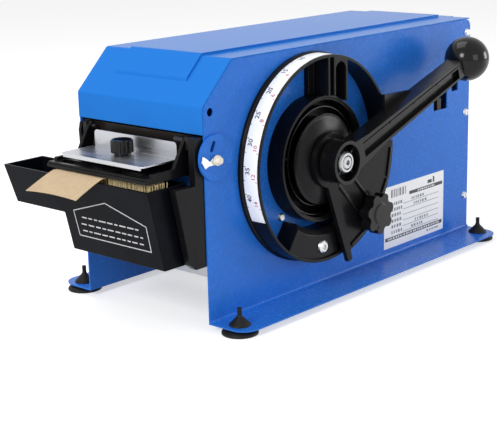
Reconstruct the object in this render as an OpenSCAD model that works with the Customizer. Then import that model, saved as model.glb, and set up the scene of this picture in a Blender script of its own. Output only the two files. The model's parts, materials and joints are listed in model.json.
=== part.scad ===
// Hand-worked dispenser for gummed paper tape. A lever on the right side panel turns
// a gear train that feeds the tape out over a wet brush. Sizes are in millimetres.
// The housing's own frame has x = 0 midway between the side panels, y = 0 at their
// front edge and z = 0 at their bottom bend; +Y is the rear. place() moves it so
// that the origin is at the middle of the base.

/* [Housing] */
// Width over the outer faces of the side panels
body_w = 174; // [160:1:210]
// Length of the side panels
panel_len = 448; // [440:1:520]
// Height of the side panels
panel_h = 250; // [246:1:300]
// Height of the side panels at their front edge
nose_h = 210; // [200:1:230]
// Distance that the sloping nose runs back
nose_run = 41; // [30:1:60]
// Thickness of the painted sheet
sheet_t = 1.5; // [1:0.1:2.5]
// Width of the outward bottom flanges
flange_w = 46; // [38:1:60]
// Width of the rims folded inward along the top
rim_w = 12; // [6:1:20]
// Radius of the panels' upper rear corners
corner_r = 9; // [4:1:16]
// Corner radius of the bottom flanges
flange_r = 18; // [10:1:22]
// Height of the base plate above the bottom bend
base_z = 20; // [12:1:28]
// Distance from the front edge to the base plate
base_front = 95; // [60:1:110]
// Width of the folded flanges on the inner plates
fold_w = 14; // [8:1:18]
// Diameter of the round tie bars
tie_d = 10; // [8:1:14]

/* [Lid] */
// Thickness of the lid sheet
lid_t = 1.2; // [0.8:0.1:2]
// Height of the lip that hangs down at the front
lip_h = 25.4; // [15:0.2:30]
// Gap between the lid's side and the panel's outer face
lid_inset = 0.5; // [0:0.1:4]
// Width of the raised middle of the lid
bead_w = 98; // [60:1:130]
// Rise of the middle of the lid
bead_h = 2.4; // [1:0.1:5]
// Distance up the nose at which the raised middle starts
bead_start = 18; // [10:1:28]
// Outer diameter of the lid hinge
hinge_d = 7; // [6:0.5:10]
// Diameter of the lid hinge pin
hinge_pin_d = 3.5; // [2.5:0.1:5]

/* [Feet] */
// Height of the feet below the flanges
foot_h = 6.5; // [5.5:0.5:12]
// Diameter of the suction pads
foot_d = 36; // [28:1:42]
// Diameter of the cone that holds a foot in its flange
cone_d = 21; // [16:0.5:22]
// Diameter of the pull stem above a foot
stem_d = 4.4; // [3:0.2:8]
// Height of the pull stem above the flange
stem_h = 19; // [12:1:30]
// Distance from a foot's axis to the panel
foot_out = 25; // [20:1:34]
// Distance from a foot's axis to the end of the flange
foot_end = 15; // [12:1:30]

/* [Dial] */
// Distance from the front edge to the lever shaft
dial_y = 151; // [140:1:170]
// Height of the lever shaft above the bottom bend
dial_z = 138.5; // [130:0.5:145]
// Outer radius of the dial ring
ring_r = 105; // [95:1:110]
// Depth of the dial ring
ring_depth = 25; // [18:1:30]
// Wall of the dial ring
ring_wall = 3; // [2:0.5:5]
// Extra radius of the foot of the dial ring
ring_foot = 1.8; // [1:0.2:6]
// Width of the scale strip
scale_w = 17; // [10:0.5:20]
// Thickness of the scale strip
scale_t = 0.4; // [0.2:0.1:1]
// Angle of the scale's start, from the top towards the rear
scale_from = 5; // [0:1:20]
// Angle of the scale's end, from the top towards the front
scale_to = 116; // [90:1:125]
// Radius of the spring housing
drum_r = 64; // [58:1:68]
// Depth of the spring housing
drum_depth = 20; // [14:0.5:21]
// Radius of the bell on the lever shaft
bell_r = 46; // [44:1:55]
// Width of the spoke at the top of the dial
spoke_w = 31; // [20:1:40]

/* [Lever] */
// Distance from the shaft to the middle of the ball
lever_len = 238; // [200:1:250]
// Rest angle of the lever above the horizontal
lever_tilt = 18.7; // [10:0.1:30]
// Thickness of the lever along the shaft
lever_t = 19; // [14:0.5:20]
// Height of the lever's section
lever_w = 22; // [16:0.5:26]
// Diameter of the lever's boss
boss_d = 44; // [36:1:50]
// Diameter of the ball grip
ball_d = 49; // [40:1:55]
// Gap between the dial ring and the length selector
layer_gap = 0.6; // [0.4:0.1:1.5]
// Thickness of the length selector
selector_t = 5; // [3:0.5:6]
// Outer diameter of the star grip
star_d = 44; // [34:1:50]
// Thickness of the star grip
star_t = 15; // [10:0.5:18]
// Distance from the shaft to the star grip
star_reach = 90; // [80:1:92]
// Angle of the star grip, from straight down towards the rear
star_angle = 43; // [40:1:60]

/* [Drive] */
// Diameter of the lever shaft
shaft_d = 16; // [12:0.5:20]
// Diameter of the smaller shafts
small_shaft_d = 10; // [8:0.5:12]
// Running clearance on the radius of every shaft
run_gap = 0.05; // [0.03:0.01:0.08]
// Tooth module of the gears
tooth_m = 2.5; // [2.5:0.1:2.6]
// Teeth on the drive gear
drive_teeth = 64; // [62:1:64]
// Teeth on the small idler gear
idler_small = 12; // [12:1:13]
// Teeth on the large idler gear
idler_large = 30; // [29:1:30]
// Teeth on the feed gear
feed_teeth = 16; // [16:1:17]
// Face width of the gears
gear_w = 8; // [6:0.5:9]
// Distance from the front edge to the feed roller
feed_y = 38; // [36:0.5:42]
// Diameter of the feed roller
feed_d = 39; // [34:0.5:40]
// Diameter of the press roller
press_d = 16; // [12:0.5:18]

/* [Tape] */
// Width of the tape
tape_w = 70; // [40:1:80]
// Middle of the tape, across from the middle of the housing
tape_x = -22; // [-25:1:-18]
// Thickness of the tape web
web_t = 0.5; // [0.4:0.1:1]
// Clearance between the tape and what it passes
web_gap = 0.3; // [0.2:0.05:0.5]
// Height of the tape path above the bottom bend
tape_z = 144.4; // [143:0.1:146]
// Reach of the tape's end in front of the panels
tape_out = 96; // [80:1:110]
// Drop of the tape's end
tape_drop = 14; // [6:1:18]
// Diameter of the tape roll
roll_d = 176; // [120:1:180]
// Diameter of the hole in the roll's core
core_d = 38; // [30:1:50]
// Distance from the roll's middle to the rear edge
roll_back = 113; // [108:1:118]
// Diameter of the cradle rollers
cradle_d = 14; // [10:1:18]
// Distance between the cradle rollers
cradle_span = 100; // [80:2:110]

/* [Wetting] */
// Gap between the water tank and the right panel
tank_gap = 10.5; // [9.5:0.5:15]
// Left end of the deep part of the tank
tank_left = -54; // [-60:1:-50]
// Left end of the filling hopper at its rim
hopper_left = -134.5; // [-140:0.5:-134.5]
// Height of the tank's rim
tank_top = 140.5; // [136:0.5:141]
// Height of the hopper's floor
hopper_floor = 101; // [96:1:110]
// Height of the tank's floor
tank_floor = 62; // [56:1:70]
// Front of the tank at its rim
tank_front = -63; // [-66:1:-62]
// Slope of the tank's front, in millimetres back per millimetre down
tank_slope = 0.23; // [0.1:0.01:0.25]
// Rear face of the tank
tank_back = -13; // [-14:0.5:-12.5]
// Wall of the tank
tank_wall = 2.5; // [1.5:0.1:3]
// Height of the bristles that stand above the tank
bristle_h = 15; // [10:0.5:18]
// Rows of bristles from front to back
bristle_rows = 8; // [5:1:8]
// Bristles in a row
bristle_cols = 39; // [20:1:40]

/* [Press] */
// Room between the press frame and a side panel
side_room = 16.5; // [15.5:0.5:20]
// Front edge of the press frame
frame_front = -58; // [-60:1:-54]
// Thickness of the press frame
frame_t = 5.5; // [4:0.5:7]
// Width of the steel press plate
plate_w = 115; // [100:1:118]
// Middle of the press plate, across from the middle of the housing
plate_x = 2; // [0:0.5:3]
// Thickness of the steel press plate
plate_t = 1.6; // [1:0.1:2.5]
// Front edge of the steel press plate
plate_front = -53; // [-55:1:-48]
// Diameter of the fluted knob
knob_d = 22; // [18:0.5:26]
// Height of the fluted knob
knob_h = 15; // [12:0.5:17]

/* [Hidden] */
$fn = 48;

half_w = body_w/2;
inner_x = half_w - sheet_t;
roll_y = panel_len - roll_back;
tank_right = inner_x - tank_gap;
frame_w = 2*(inner_x - side_room);
face_gap = 0.3;
// the layers on the lever shaft, outside the dial ring
sel_x = half_w + ring_depth + layer_gap;
lever_x = sel_x + selector_t + 1.6;
ball_x = lever_x + lever_t/2;

blue = [0.05, 0.27, 0.75];
black = [0.06, 0.06, 0.065];
steel = [0.75, 0.76, 0.78];
paper = [0.8, 0.66, 0.46];

module place() {
    translate([-(box_left + box_right)/2, -(box_front + box_rear)/2, foot_h]) children();
}
// extrudes an outline drawn in Y and Z along X, from x0
module across(x0, t) {
    translate([x0, 0, 0]) rotate([90, 0, 90]) linear_extrude(t) children();
}
module rod_x(x0, len, d, y, z) {
    translate([x0, y, z]) rotate([0, 90, 0]) cylinder(d = d, h = len);
}
// turns a profile about the lever shaft: radius outward, height along +X
module turn_x(x0, from = 0, angle = 360) {
    translate([x0, dial_y, dial_z]) rotate([0, 90, 0]) rotate([0, 0, from])
        rotate_extrude(angle = angle, $fn = 120) children();
}
function arc(cx, cy, r, a0, a1, n = 6) =
    [for (i = [0:n]) [cx + r*cos(a0 + (a1 - a0)*i/n), cy + r*sin(a0 + (a1 - a0)*i/n)]];

// ---- housing ----
panel_points = concat([[0, 0], [panel_len, 0]],
    arc(panel_len - corner_r, panel_h - corner_r, corner_r, 0, 90),
    [[nose_run, panel_h], [0, nose_h]]);
flange_points = concat(
    arc(flange_w - flange_r, flange_r, flange_r, -90, 0, 10),
    arc(flange_w - flange_r, panel_len - flange_r, flange_r, 0, 90, 10),
    [[-sheet_t, panel_len], [-sheet_t, 0]]);
foot_ys = [foot_end, panel_len - foot_end];
foot_hole_d = 9;
side_screw_y = panel_len - 7;
side_screw_zs = [41, panel_h/2 + 16.5, panel_h - 15];
side_screw_d = 4.4;
// the upper tie bar lies near the nose, and the lower one ahead of the roll
tie_y = 60;
tie_drop = 25;
tie_ahead = 73;
tie_z = 50;
ties = [[tie_y, panel_h - tie_drop], [roll_y - tie_ahead, tie_z]];
window_back = 73;
window_y = panel_len - window_back;
window_z = 152;
window_len = 27;
window_h = 24;
nose_hole = [9, nose_h - 5];
nose_hole_d = 8;

module side_panel(right) {
    difference() {
        union() {
            across(right ? inner_x : -half_w, sheet_t) polygon(panel_points);
            mirror([right ? 0 : 1, 0, 0]) translate([half_w, 0, 0])
                linear_extrude(sheet_t) polygon(flange_points);
            mirror([right ? 0 : 1, 0, 0]) {
                translate([half_w - rim_w, nose_run, panel_h - sheet_t])
                    cube([rim_w, panel_len - nose_run - corner_r, sheet_t]);
                across(half_w - rim_w, rim_w) polygon([[0, nose_h], [nose_run, panel_h],
                    [nose_run, panel_h - 1.4*sheet_t], [0, nose_h - 1.4*sheet_t]]);
            }
        }
        rod_x(-body_w, 2*body_w, shaft_d + bush_wall*2, dial_y, dial_z);
        if (!right) rod_x(-body_w, body_w, small_shaft_d + bush_wall*2, feed_y, feed_z);
        for (z = side_screw_zs) rod_x(-body_w, 2*body_w, side_screw_d, side_screw_y, z);
        if (!right) for (p = ties) rod_x(-body_w, body_w, side_screw_d, p[0], p[1]);
        for (s = [-1, 1]) for (y = foot_ys)
            translate([s*(half_w + foot_out), y, -1]) cylinder(d = foot_hole_d, h = sheet_t + 2);
        rod_x(-body_w, 2*body_w, nose_hole_d, nose_hole[0], nose_hole[1]);
        if (right) {
            translate([0, window_y, window_z]) cube([body_w, window_len, window_h]);
            translate([0, window_y + window_len + 9, window_z + 18]) cube([body_w, 13, 10]);
        }
    }
}
ear_y = 13;
ear_z = 162;
ear_r = 22;
ear_t = 2.5;
slot_w = 4.6;
slot_ends = [[ear_y - 5.5, ear_z + 8], [ear_y - 2.5, ear_z + 14]];
slot_side = slot_w/2*[cos(-26.565), sin(-26.565)];
module side_panel_right() {
    color(blue) place() difference() {
        union() {
            side_panel(true);
            rod_x(half_w, ear_t, ear_r*2, ear_y, ear_z);
        }
        for (p = slot_ends) rod_x(inner_x - 1, ear_t + sheet_t + 2, slot_w, p[0], p[1]);
        across(inner_x - 1, ear_t + sheet_t + 2) polygon([slot_ends[0] - slot_side,
            slot_ends[0] + slot_side, slot_ends[1] + slot_side, slot_ends[1] - slot_side]);
        rod_x(inner_x - 1, ear_t + sheet_t + 2, latch_screw_d, latch_y, latch_z);
    }
}
module side_panel_left() {
    color(blue) place() side_panel(false);
}
module back_panel() {
    color(blue) place() difference() {
        union() {
            translate([-inner_x, panel_len - sheet_t, base_z + sheet_t])
                cube([inner_x*2, sheet_t, panel_h - base_z - sheet_t - 4]);
            for (s = [-1, 1]) translate([s > 0 ? inner_x - sheet_t : -inner_x,
                    panel_len - fold_w, base_z + sheet_t])
                cube([sheet_t, fold_w, panel_h - base_z - sheet_t - 14]);
        }
        for (z = side_screw_zs) rod_x(-body_w, 2*body_w, side_screw_d, side_screw_y, z);
    }
}
module base_plate() {
    color(steel) place() {
        translate([-inner_x, base_front, base_z]) cube([inner_x*2, panel_len - base_front, sheet_t]);
        for (s = [-1, 1]) translate([s > 0 ? inner_x - sheet_t : -inner_x, base_front,
                base_z - fold_w])
            cube([sheet_t, panel_len - base_front - 2, fold_w]);
        translate([-inner_x, base_front, base_z - fold_w]) cube([inner_x*2, sheet_t, fold_w]);
    }
}
module tie_bars() {
    color(steel) place() for (p = ties) rod_x(-inner_x, inner_x*2, tie_d, p[0], p[1]);
}
screw_head_d = 9;
screw_head_h = 2.6;
module pan_screw(x, y, z, out) {
    translate([x, y, z]) rotate([0, out > 0 ? 90 : -90, 0]) difference() {
        union() {
            cylinder(d1 = screw_head_d, d2 = screw_head_d*0.7, h = screw_head_h);
            translate([0, 0, -sheet_t]) cylinder(d = side_screw_d - 0.1, h = sheet_t + 0.1);
        }
        for (a = [0, 90]) rotate([0, 0, a])
            translate([-screw_head_d*0.3, -0.5, screw_head_h - 1.2]) cube([screw_head_d*0.6, 1, 2]);
    }
}
dial_screw = [106, 84.5];
module panel_screws() {
    color(steel) place() for (s = [-1, 1]) {
        for (z = side_screw_zs) pan_screw(s*half_w, side_screw_y, z, s);
        if (s < 0) for (p = ties) pan_screw(s*half_w, p[0], p[1], s);
        if (s > 0) {
            translate([half_w, dial_screw[0], dial_screw[1]]) rotate([0, 90, 0])
                cylinder(d1 = screw_head_d, d2 = screw_head_d*0.7, h = screw_head_h);
            stop_screw();
        }
    }
}
card_back = 168;
card_y = panel_len - card_back;
card_z = 9.5;
card_len = 116.5;
card_h = 70.5;
card_t = 0.4;
module rating_plate() {
    color("white") place() translate([half_w, card_y, card_z]) cube([card_t, card_len, card_h]);
}
module foot() {
    rotate_extrude() polygon([[0, -foot_h], [foot_d/2, -foot_h], [foot_d/2, -foot_h + 2],
        [foot_d/2 - 3, -foot_h + 4.5], [foot_d*0.3, -1], [foot_d*0.3, 0],
        [foot_hole_d/2 - 0.3, 0], [foot_hole_d/2 - 0.3, sheet_t], [cone_d/2, sheet_t],
        [cone_d/2, sheet_t + 1],
        [stem_d/2 + 1, 10], [stem_d/2, 12], [stem_d/2, stem_h], [0, stem_h]]);
}
module rubber_feet() {
    color(black) place() for (s = [-1, 1]) for (y = foot_ys)
        translate([s*(half_w + foot_out), y, 0]) foot();
}

// ---- lid ----
nose_rise = panel_h - nose_h;
nose_tan = nose_rise/nose_run;
nose_cos = nose_run/norm([nose_run, nose_rise]);
// the lid's surface at a height d above the panels' edges, from the lip to the rear
function lid_line(d, rear) = [[-d, nose_h - lip_h], [-d, nose_h - d*nose_tan + d/nose_cos],
    [(nose_rise + d - d/nose_cos)/nose_tan, panel_h + d], [rear, panel_h + d]];
lid_rear = panel_len - 1;
module lid() {
    color(blue) place() {
        across(-half_w + lid_inset, body_w - 2*lid_inset) polygon(concat(lid_line(lid_t, lid_rear),
            [[lid_rear, panel_h], [nose_run, panel_h], [0, nose_h], [0, nose_h - lip_h]]));
        across(-bead_w/2, bead_w) intersection() {
            polygon(concat(lid_line(lid_t + bead_h, lid_rear - 8),
                [[lid_rear - 8, panel_h + lid_t], [nose_run, panel_h + 0.5], [0, nose_h + 0.5]]));
            translate([bead_start, 0]) square([panel_len, panel_h*2]);
        }
        for (x = [-knuckle_w*1.5, knuckle_w/2]) difference() {
            union() {
                rod_x(x, knuckle_w, hinge_d, hinge_y, hinge_z);
                translate([x, lid_rear - 1, panel_h]) cube([knuckle_w, hinge_y - lid_rear + 1, lid_t]);
            }
            rod_x(x - 1, knuckle_w + 2, hinge_pin_d + 2*run_gap, hinge_y, hinge_z);
        }
    }
}
knuckle_w = 40;
hinge_leaf = 26;
hinge_y = panel_len + hinge_d/2;
hinge_z = panel_h + lid_t - hinge_d/2;
module lid_hinge() {
    color(steel) place() {
        difference() {
            union() {
                rod_x(-knuckle_w/2 + face_gap, knuckle_w - 2*face_gap, hinge_d, hinge_y, hinge_z);
                translate([-knuckle_w/2 + face_gap, panel_len, hinge_z - hinge_leaf])
                    cube([knuckle_w - 2*face_gap, sheet_t, hinge_leaf]);
            }
            rod_x(-knuckle_w, 2*knuckle_w, hinge_pin_d + 2*run_gap, hinge_y, hinge_z);
        }
    }
}
module lid_hinge_pin() {
    color(steel) place() rod_x(-knuckle_w*1.5 - 2, knuckle_w*3 + 4, hinge_pin_d, hinge_y, hinge_z);
}

// ---- dial ----
web_depth = 6;
spoke_front = 6;
arch_h = 17;
module dial_ring() {
    color(black) place() {
        turn_x(half_w) polygon([[ring_r - ring_wall, 0], [ring_r + ring_foot, 0],
            [ring_r + ring_foot, 3.5], [ring_r, 4.5], [ring_r, ring_depth],
            [ring_r - ring_wall, ring_depth]]);
        intersection() {
            turn_x(half_w) translate([drum_r + 0.2, 0]) square([ring_r - drum_r - 1, ring_depth]);
            translate([half_w, dial_y, dial_z]) {
                translate([0, -spoke_front, 0]) cube([web_depth, spoke_w + spoke_front + 2, ring_r]);
                for (y = [0, 9, spoke_w - 3]) translate([0, 2 + y, 0]) cube([ring_depth, 3, ring_r]);
                translate([0, 2, 0]) cube([ring_depth - web_depth, 12, ring_r]);
                difference() {
                    translate([0, 11, ring_r - arch_h]) cube([ring_depth, spoke_w - 9, arch_h]);
                    rod_x(web_depth, ring_depth, spoke_w - 15, spoke_w/2 + 6.5, ring_r - arch_h);
                }
            }
        }
    }
}
strip_gap = 0.05;
module scale_strip() {
    color("white") place() turn_x(half_w + (ring_depth + 5 - scale_w)/2, 180 - scale_from,
            scale_from + scale_to)
        translate([ring_r + strip_gap, 0]) square([scale_t, scale_w]);
}
block_from = -35;
block_to = 11;
module stop_block() {
    color(black) place() difference() {
        turn_x(half_w, block_from, block_to - block_from)
            polygon([[drum_r + 8, 0], [ring_r - ring_wall - 0.2, 0],
                [ring_r - ring_wall - 0.2, ring_depth - 3], [drum_r + 14, ring_depth - 3],
                [drum_r + 8, ring_depth - 8]]);
        rod_x(half_w - 1, ring_depth + 2, 6.1, dial_at(stop_r, stop_angle)[0],
            dial_at(stop_r, stop_angle)[1]);
    }
}
stop_r = 90;
stop_angle = -4;
module stop_screw() {
    translate([half_w, dial_at(stop_r, stop_angle)[0], dial_at(stop_r, stop_angle)[1]])
        rotate([0, 90, 0]) rotate_extrude() polygon([[0, 0], [3, 0], [3, ring_depth - 3],
            [7, ring_depth - 3], [6.4, ring_depth - 1.2], [4.6, ring_depth + 0.2],
            [3, ring_depth + 0.2], [3, ring_depth - 1.8], [0, ring_depth - 1.8]]);
}
module spring_housing() {
    color(black) place() turn_x(half_w) polygon([[bush_r + 2, 0], [drum_r, 0],
        [drum_r, drum_depth], [drum_r - 2.5, drum_depth], [drum_r - 2.5, drum_depth - 1.2],
        [drum_r - 4.5, drum_depth - 1.2], [drum_r - 4.5, 2.5], [bush_r + 2, 2.5]]);
}
spiral_turns = 4;
function spiral(r0, r1, w) = let (n = spiral_turns*20) concat(
    [for (i = [0:n]) let (r = r0 + (r1 - r0)*i/n) [r*cos(i*18), r*sin(i*18)]],
    [for (i = [n:-1:0]) let (r = r0 + w + (r1 - r0)*i/n) [r*cos(i*18), r*sin(i*18)]]);
module return_spring() {
    color(steel) place() translate([half_w + 2.5 + face_gap, dial_y, dial_z]) rotate([0, 90, 0])
        linear_extrude(drum_depth - 8) polygon(spiral(bush_r + 8, drum_r - 6.5, 1));
}
bell_x = half_w + drum_depth - 2;
module spring_bell() {
    color(black) place() turn_x(bell_x) polygon(concat(
        [[shaft_d/2, 0], [bell_r, 0], [bell_r, 2.2], [bell_r - 1.5, 2.2]],
        [for (i = [0:5]) let (a = i*15) [bell_r - 1.5 - (bell_r - 26)*i/6,
            2.2 + (ring_depth - drum_depth)*sin(a)]],
        [[24, ring_depth - drum_depth + 2 - 0.1], [shaft_d/2, ring_depth - drum_depth + 2 - 0.1]]));
}

// ---- length selector and lever ----
sel_from = 13;
sel_to = 92;
sel_hub_r = 28;
// the lug behind the selector that meets the stop block
lug_depth = 10;
lug_r = ring_r - ring_wall - 8;
star_y = dial_y + star_reach*sin(star_angle);
star_z = dial_z - star_reach*cos(star_angle);
// a point at radius r and angle a from straight down towards the rear
function dial_at(r, a) = [dial_y + r*sin(a), dial_z - r*cos(a)];
module selector_arm() {
    color(black) place() difference() {
        union() {
            across(sel_x, selector_t - 2) polygon(concat(
                [for (i = [0:12]) dial_at(ring_r + 0.5, sel_from + (sel_to - sel_from)*i/12)],
                [dial_at(sel_hub_r - 6, sel_to + 20), dial_at(sel_hub_r - 6, sel_from - 30)]));
            rod_x(sel_x, selector_t, sel_hub_r*2, dial_y, dial_z);
            across(sel_x, selector_t) polygon([dial_at(sel_hub_r - 2, sel_from - 30),
                dial_at(ring_r + 10, sel_from), dial_at(ring_r + 10, sel_from + 3.5),
                dial_at(sel_hub_r - 2, sel_from + 6)]);
            across(sel_x - lug_depth, lug_depth + 2) polygon([dial_at(drum_r + 6, sel_from - 1),
                dial_at(lug_r, sel_from - 0.5), dial_at(lug_r, sel_from + 4),
                dial_at(drum_r + 6, sel_from + 4)]);
            across(sel_x, selector_t) polygon([dial_at(sel_hub_r, 85), dial_at(ring_r - 3, 92),
                dial_at(ring_r - 3, 90), dial_at(sel_hub_r, 78)]);
            rod_x(sel_x, selector_t, 22, star_y, star_z);
        }
        rod_x(sel_x - 20, 40, shaft_d + 2*run_gap, dial_y, dial_z);
        rod_x(sel_x - 20, 40, stud_d + 2*run_gap, star_y, star_z);
    }
}
stud_d = 8;
star_x = sel_x + selector_t + face_gap;
star_lobes = 7;
module star_knob() {
    color(black) place() translate([star_x, star_y, star_z]) rotate([0, 90, 0]) difference() {
        union() {
            cylinder(d = 20, h = 4);
            translate([0, 0, 3.5]) linear_extrude(star_t - 3.5) difference() {
                union() {
                    circle(d = star_d - 9, $fn = 60);
                    for (i = [0:star_lobes - 1]) rotate(i*360/star_lobes)
                        translate([star_d/2 - 6, 0]) circle(d = 12, $fn = 28);
                }
                for (i = [0:star_lobes - 1]) rotate((i + 0.5)*360/star_lobes)
                    translate([star_d/2 + 0.5, 0]) circle(d = 10, $fn = 28);
            }
            translate([0, 0, star_t - 0.1]) cylinder(d1 = 24, d2 = 21, h = 1.6);
        }
        translate([0, 0, -1]) cylinder(d = stud_d + 0.02, h = 11);
    }
}
module star_stud() {
    color(steel) place() rod_x(sel_x - 0.4, star_x - sel_x + 9.4, stud_d, star_y, star_z);
}

rib_t = 3;
recess_d = 5;
recess_from = 27;
recess_to = 206;
groove_d = 2;
groove_w = 1.2;
notch_w = 2;
notch_at = [74, 118, 162];
boss_recess = 10;
module lever_arm() {
    color(black) place() translate([0, dial_y, dial_z]) rotate([lever_tilt, 0, 0]) difference() {
        union() {
            rod_x(lever_x, lever_t, boss_d, 0, 0);
            across(lever_x, lever_t) polygon([[0, -lever_w/2 - 6], [60, -lever_w/2],
                [lever_len - ball_d/2 + 2, -lever_w/2 + 2], [lever_len - ball_d/2 + 2, lever_w/2 - 2],
                [40, lever_w/2 + 1], [0, lever_w/2 + 5]]);
            across(lever_x, rib_t + 1) polygon([[88, lever_w/2 - 3], [94, 27], [98, 25],
                [137, lever_w/2]]);
        }
        // one long recess with low cross ribs on the outer side, and another on the inner side
        for (side = [0, 1]) across(side ? lever_x - 1 : lever_x + lever_t - recess_d, recess_d + 1)
            polygon([[recess_from, rib_t - lever_w/2], [recess_to, rib_t + 1 - lever_w/2],
                [recess_to, lever_w/2 - 2*rib_t - 1], [recess_from, lever_w/2 - 2*rib_t]]);
        across(lever_x + lever_t - groove_d, groove_d + 1) polygon([
            [recess_from, lever_w/2 - rib_t], [recess_to, lever_w/2 - rib_t - 1],
            [recess_to, lever_w/2 - rib_t - 1 - groove_w],
            [recess_from, lever_w/2 - rib_t - groove_w]]);
        for (u = notch_at) translate([lever_x + lever_t - groove_d, u, -lever_w/2 + rib_t + 1])
            cube([groove_d + 1, notch_w, lever_w - 2*rib_t - 2]);
        difference() {
            rod_x(lever_x + lever_t - boss_recess, 20, boss_d - 7, 0, 0);
            for (a = [25, 115]) rotate([a, 0, 0])
                translate([lever_x, -boss_d/2, -1]) cube([lever_t - 4, boss_d, 2]);
        }
        rod_x(lever_x - 1, lever_t + 2, shaft_d, 0, 0);
        rod_x(lever_x + lever_t - boss_recess, 20, 24, 0, 0);
    }
}
module lever_point(u) {
    translate([0, dial_y, dial_z]) rotate([lever_tilt, 0, 0]) translate([0, u, 0]) children();
}
module ball_knob() {
    color(black) place() lever_point(lever_len) translate([ball_x, 0, 0]) difference() {
        union() {
            sphere(d = ball_d, $fn = 72);
            rotate([90, 0, 0]) cylinder(d1 = 20, d2 = 18, h = ball_d/2 + 3);
        }
        rotate([90, 0, 0]) translate([0, 0, ball_d/2 - 2 - 0.01]) cylinder(d = 60, h = 20);
    }
}
module lever_bolt() {
    color(steel) place() translate([lever_x + lever_t - boss_recess, dial_y, dial_z])
        rotate([0, 90, 0]) difference() {
            rotate_extrude() polygon([[0, 0], [11, 0], [11, 6], [9.5, 8.5], [7.5, 8.5], [7.5, 6],
                [6.5, 6], [6.5, 8], [5.5, 9.2], [0, 9.2]]);
            translate([0, 0, 6]) cylinder(d = 6, h = 5, $fn = 6);
        }
}
shaft_end = lever_x + lever_t - boss_recess;
module lever_shaft() {
    color(steel) place() rod_x(-half_w - 1, shaft_end + half_w + 1, shaft_d, dial_y, dial_z);
}

// ---- gear train ----
bush_wall = 4;
bush_r = shaft_d/2 + bush_wall;
drive_pitch = drive_teeth*tooth_m/2;
small_pitch = idler_small*tooth_m/2;
large_pitch = idler_large*tooth_m/2;
feed_pitch = feed_teeth*tooth_m/2;
feed_z = tape_z - web_gap - feed_d/2;
// the idler's axis closes the triangle of the two centre distances, below the shafts
reach_1 = drive_pitch + small_pitch;
reach_2 = large_pitch + feed_pitch;
span = norm([feed_y - dial_y, feed_z - dial_z]);
along = (pow(reach_1, 2) - pow(reach_2, 2) + pow(span, 2))/(2*span);
off = sqrt(pow(reach_1, 2) - pow(along, 2));
dir_f = [feed_y - dial_y, feed_z - dial_z]/span;
idler_at = [dial_y + along*dir_f[0] - off*dir_f[1], dial_z + along*dir_f[1] + off*dir_f[0]];
// angles of the line from one gear's axis to the next
mesh_1 = atan2(idler_at[1] - dial_z, idler_at[0] - dial_y);
mesh_2 = atan2(feed_z - idler_at[1], feed_y - idler_at[0]);
// an outline of a spur gear with a tooth on its +X axis
function gear(n) = let (r = n*tooth_m/2, p = 360/n) [for (i = [0:n - 1])
    each [for (t = [[-0.30, -1.15], [-0.21, 0], [-0.11, 0.75], [0.11, 0.75], [0.21, 0], [0.30, -1.15]])
        let (a = p*(i + t[0]), q = r + t[1]*tooth_m) [q*cos(a), q*sin(a)]]];
module gear_x(x0, w, n, at, turn) {
    translate([x0, at[0], at[1]]) rotate([90, 0, 90]) rotate([0, 0, turn])
        linear_extrude(w) polygon(gear(n));
}
gear_x1 = inner_x - 24;
gear_x2 = gear_x1 - gear_w - 4;
// the idler is turned so that its gap meets the tooth of the drive gear, and so on
idler_turn = mesh_1 + 180 + 180/idler_small;
idler_turn_2 = mesh_2;
feed_turn = mesh_2 + 180 + 180/feed_teeth;
module drive_gear() {
    color("dimgray") place() difference() {
        union() {
            gear_x(gear_x1, gear_w, drive_teeth, [dial_y, dial_z], mesh_1);
            rod_x(gear_x1 - 6, gear_w + 12, shaft_d + 16, dial_y, dial_z);
        }
        rod_x(gear_x1 - 10, gear_w + 20, shaft_d, dial_y, dial_z);
        for (a = [0:60:300]) translate([0, dial_y + 50*cos(a), dial_z + 50*sin(a)])
            rod_x(gear_x1 - 1, gear_w + 2, 26, 0, 0);
    }
}
module idler_gear() {
    color("dimgray") place() difference() {
        union() {
            gear_x(gear_x1, gear_w, idler_small, idler_at, idler_turn);
            gear_x(gear_x2, gear_w, idler_large, idler_at, idler_turn_2);
            rod_x(gear_x2 + gear_w - 1, 6, small_shaft_d + 8, idler_at[0], idler_at[1]);
        }
        rod_x(gear_x2 - 1, gear_w*2 + 8, small_shaft_d + 2*run_gap, idler_at[0], idler_at[1]);
    }
}
module idler_shaft() {
    color(steel) place() rod_x(gear_x2 - 4, inner_x - gear_x2 + 4, small_shaft_d,
        idler_at[0], idler_at[1]);
}
module feed_gear() {
    color("dimgray") place() difference() {
        gear_x(gear_x2, gear_w, feed_teeth, [feed_y, feed_z], feed_turn);
        rod_x(gear_x2 - 1, gear_w + 2, small_shaft_d, feed_y, feed_z);
    }
}
roller_w = tape_w + 6;
module feed_roller() {
    color(black) place() difference() {
        rod_x(tape_x - roller_w/2, roller_w, feed_d, feed_y, feed_z);
        rod_x(tape_x - roller_w/2 - 1, roller_w + 2, small_shaft_d, feed_y, feed_z);
        for (x = [-24:12:24]) translate([tape_x + x, feed_y, feed_z]) rotate([0, 90, 0])
            rotate_extrude() translate([feed_d/2 - 0.8, -0.6]) square([2, 1.2]);
    }
}
module feed_shaft() {
    color(steel) place() rod_x(-half_w - 1, half_w + 1 + inner_x - face_gap, small_shaft_d,
        feed_y, feed_z);
}
module bush(x0, len, d, at) {
    difference() {
        rod_x(x0, len, d + bush_wall*2 - 0.02, at[0], at[1]);
        rod_x(x0 - 1, len + 2, d + 2*run_gap, at[0], at[1]);
    }
}
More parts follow.
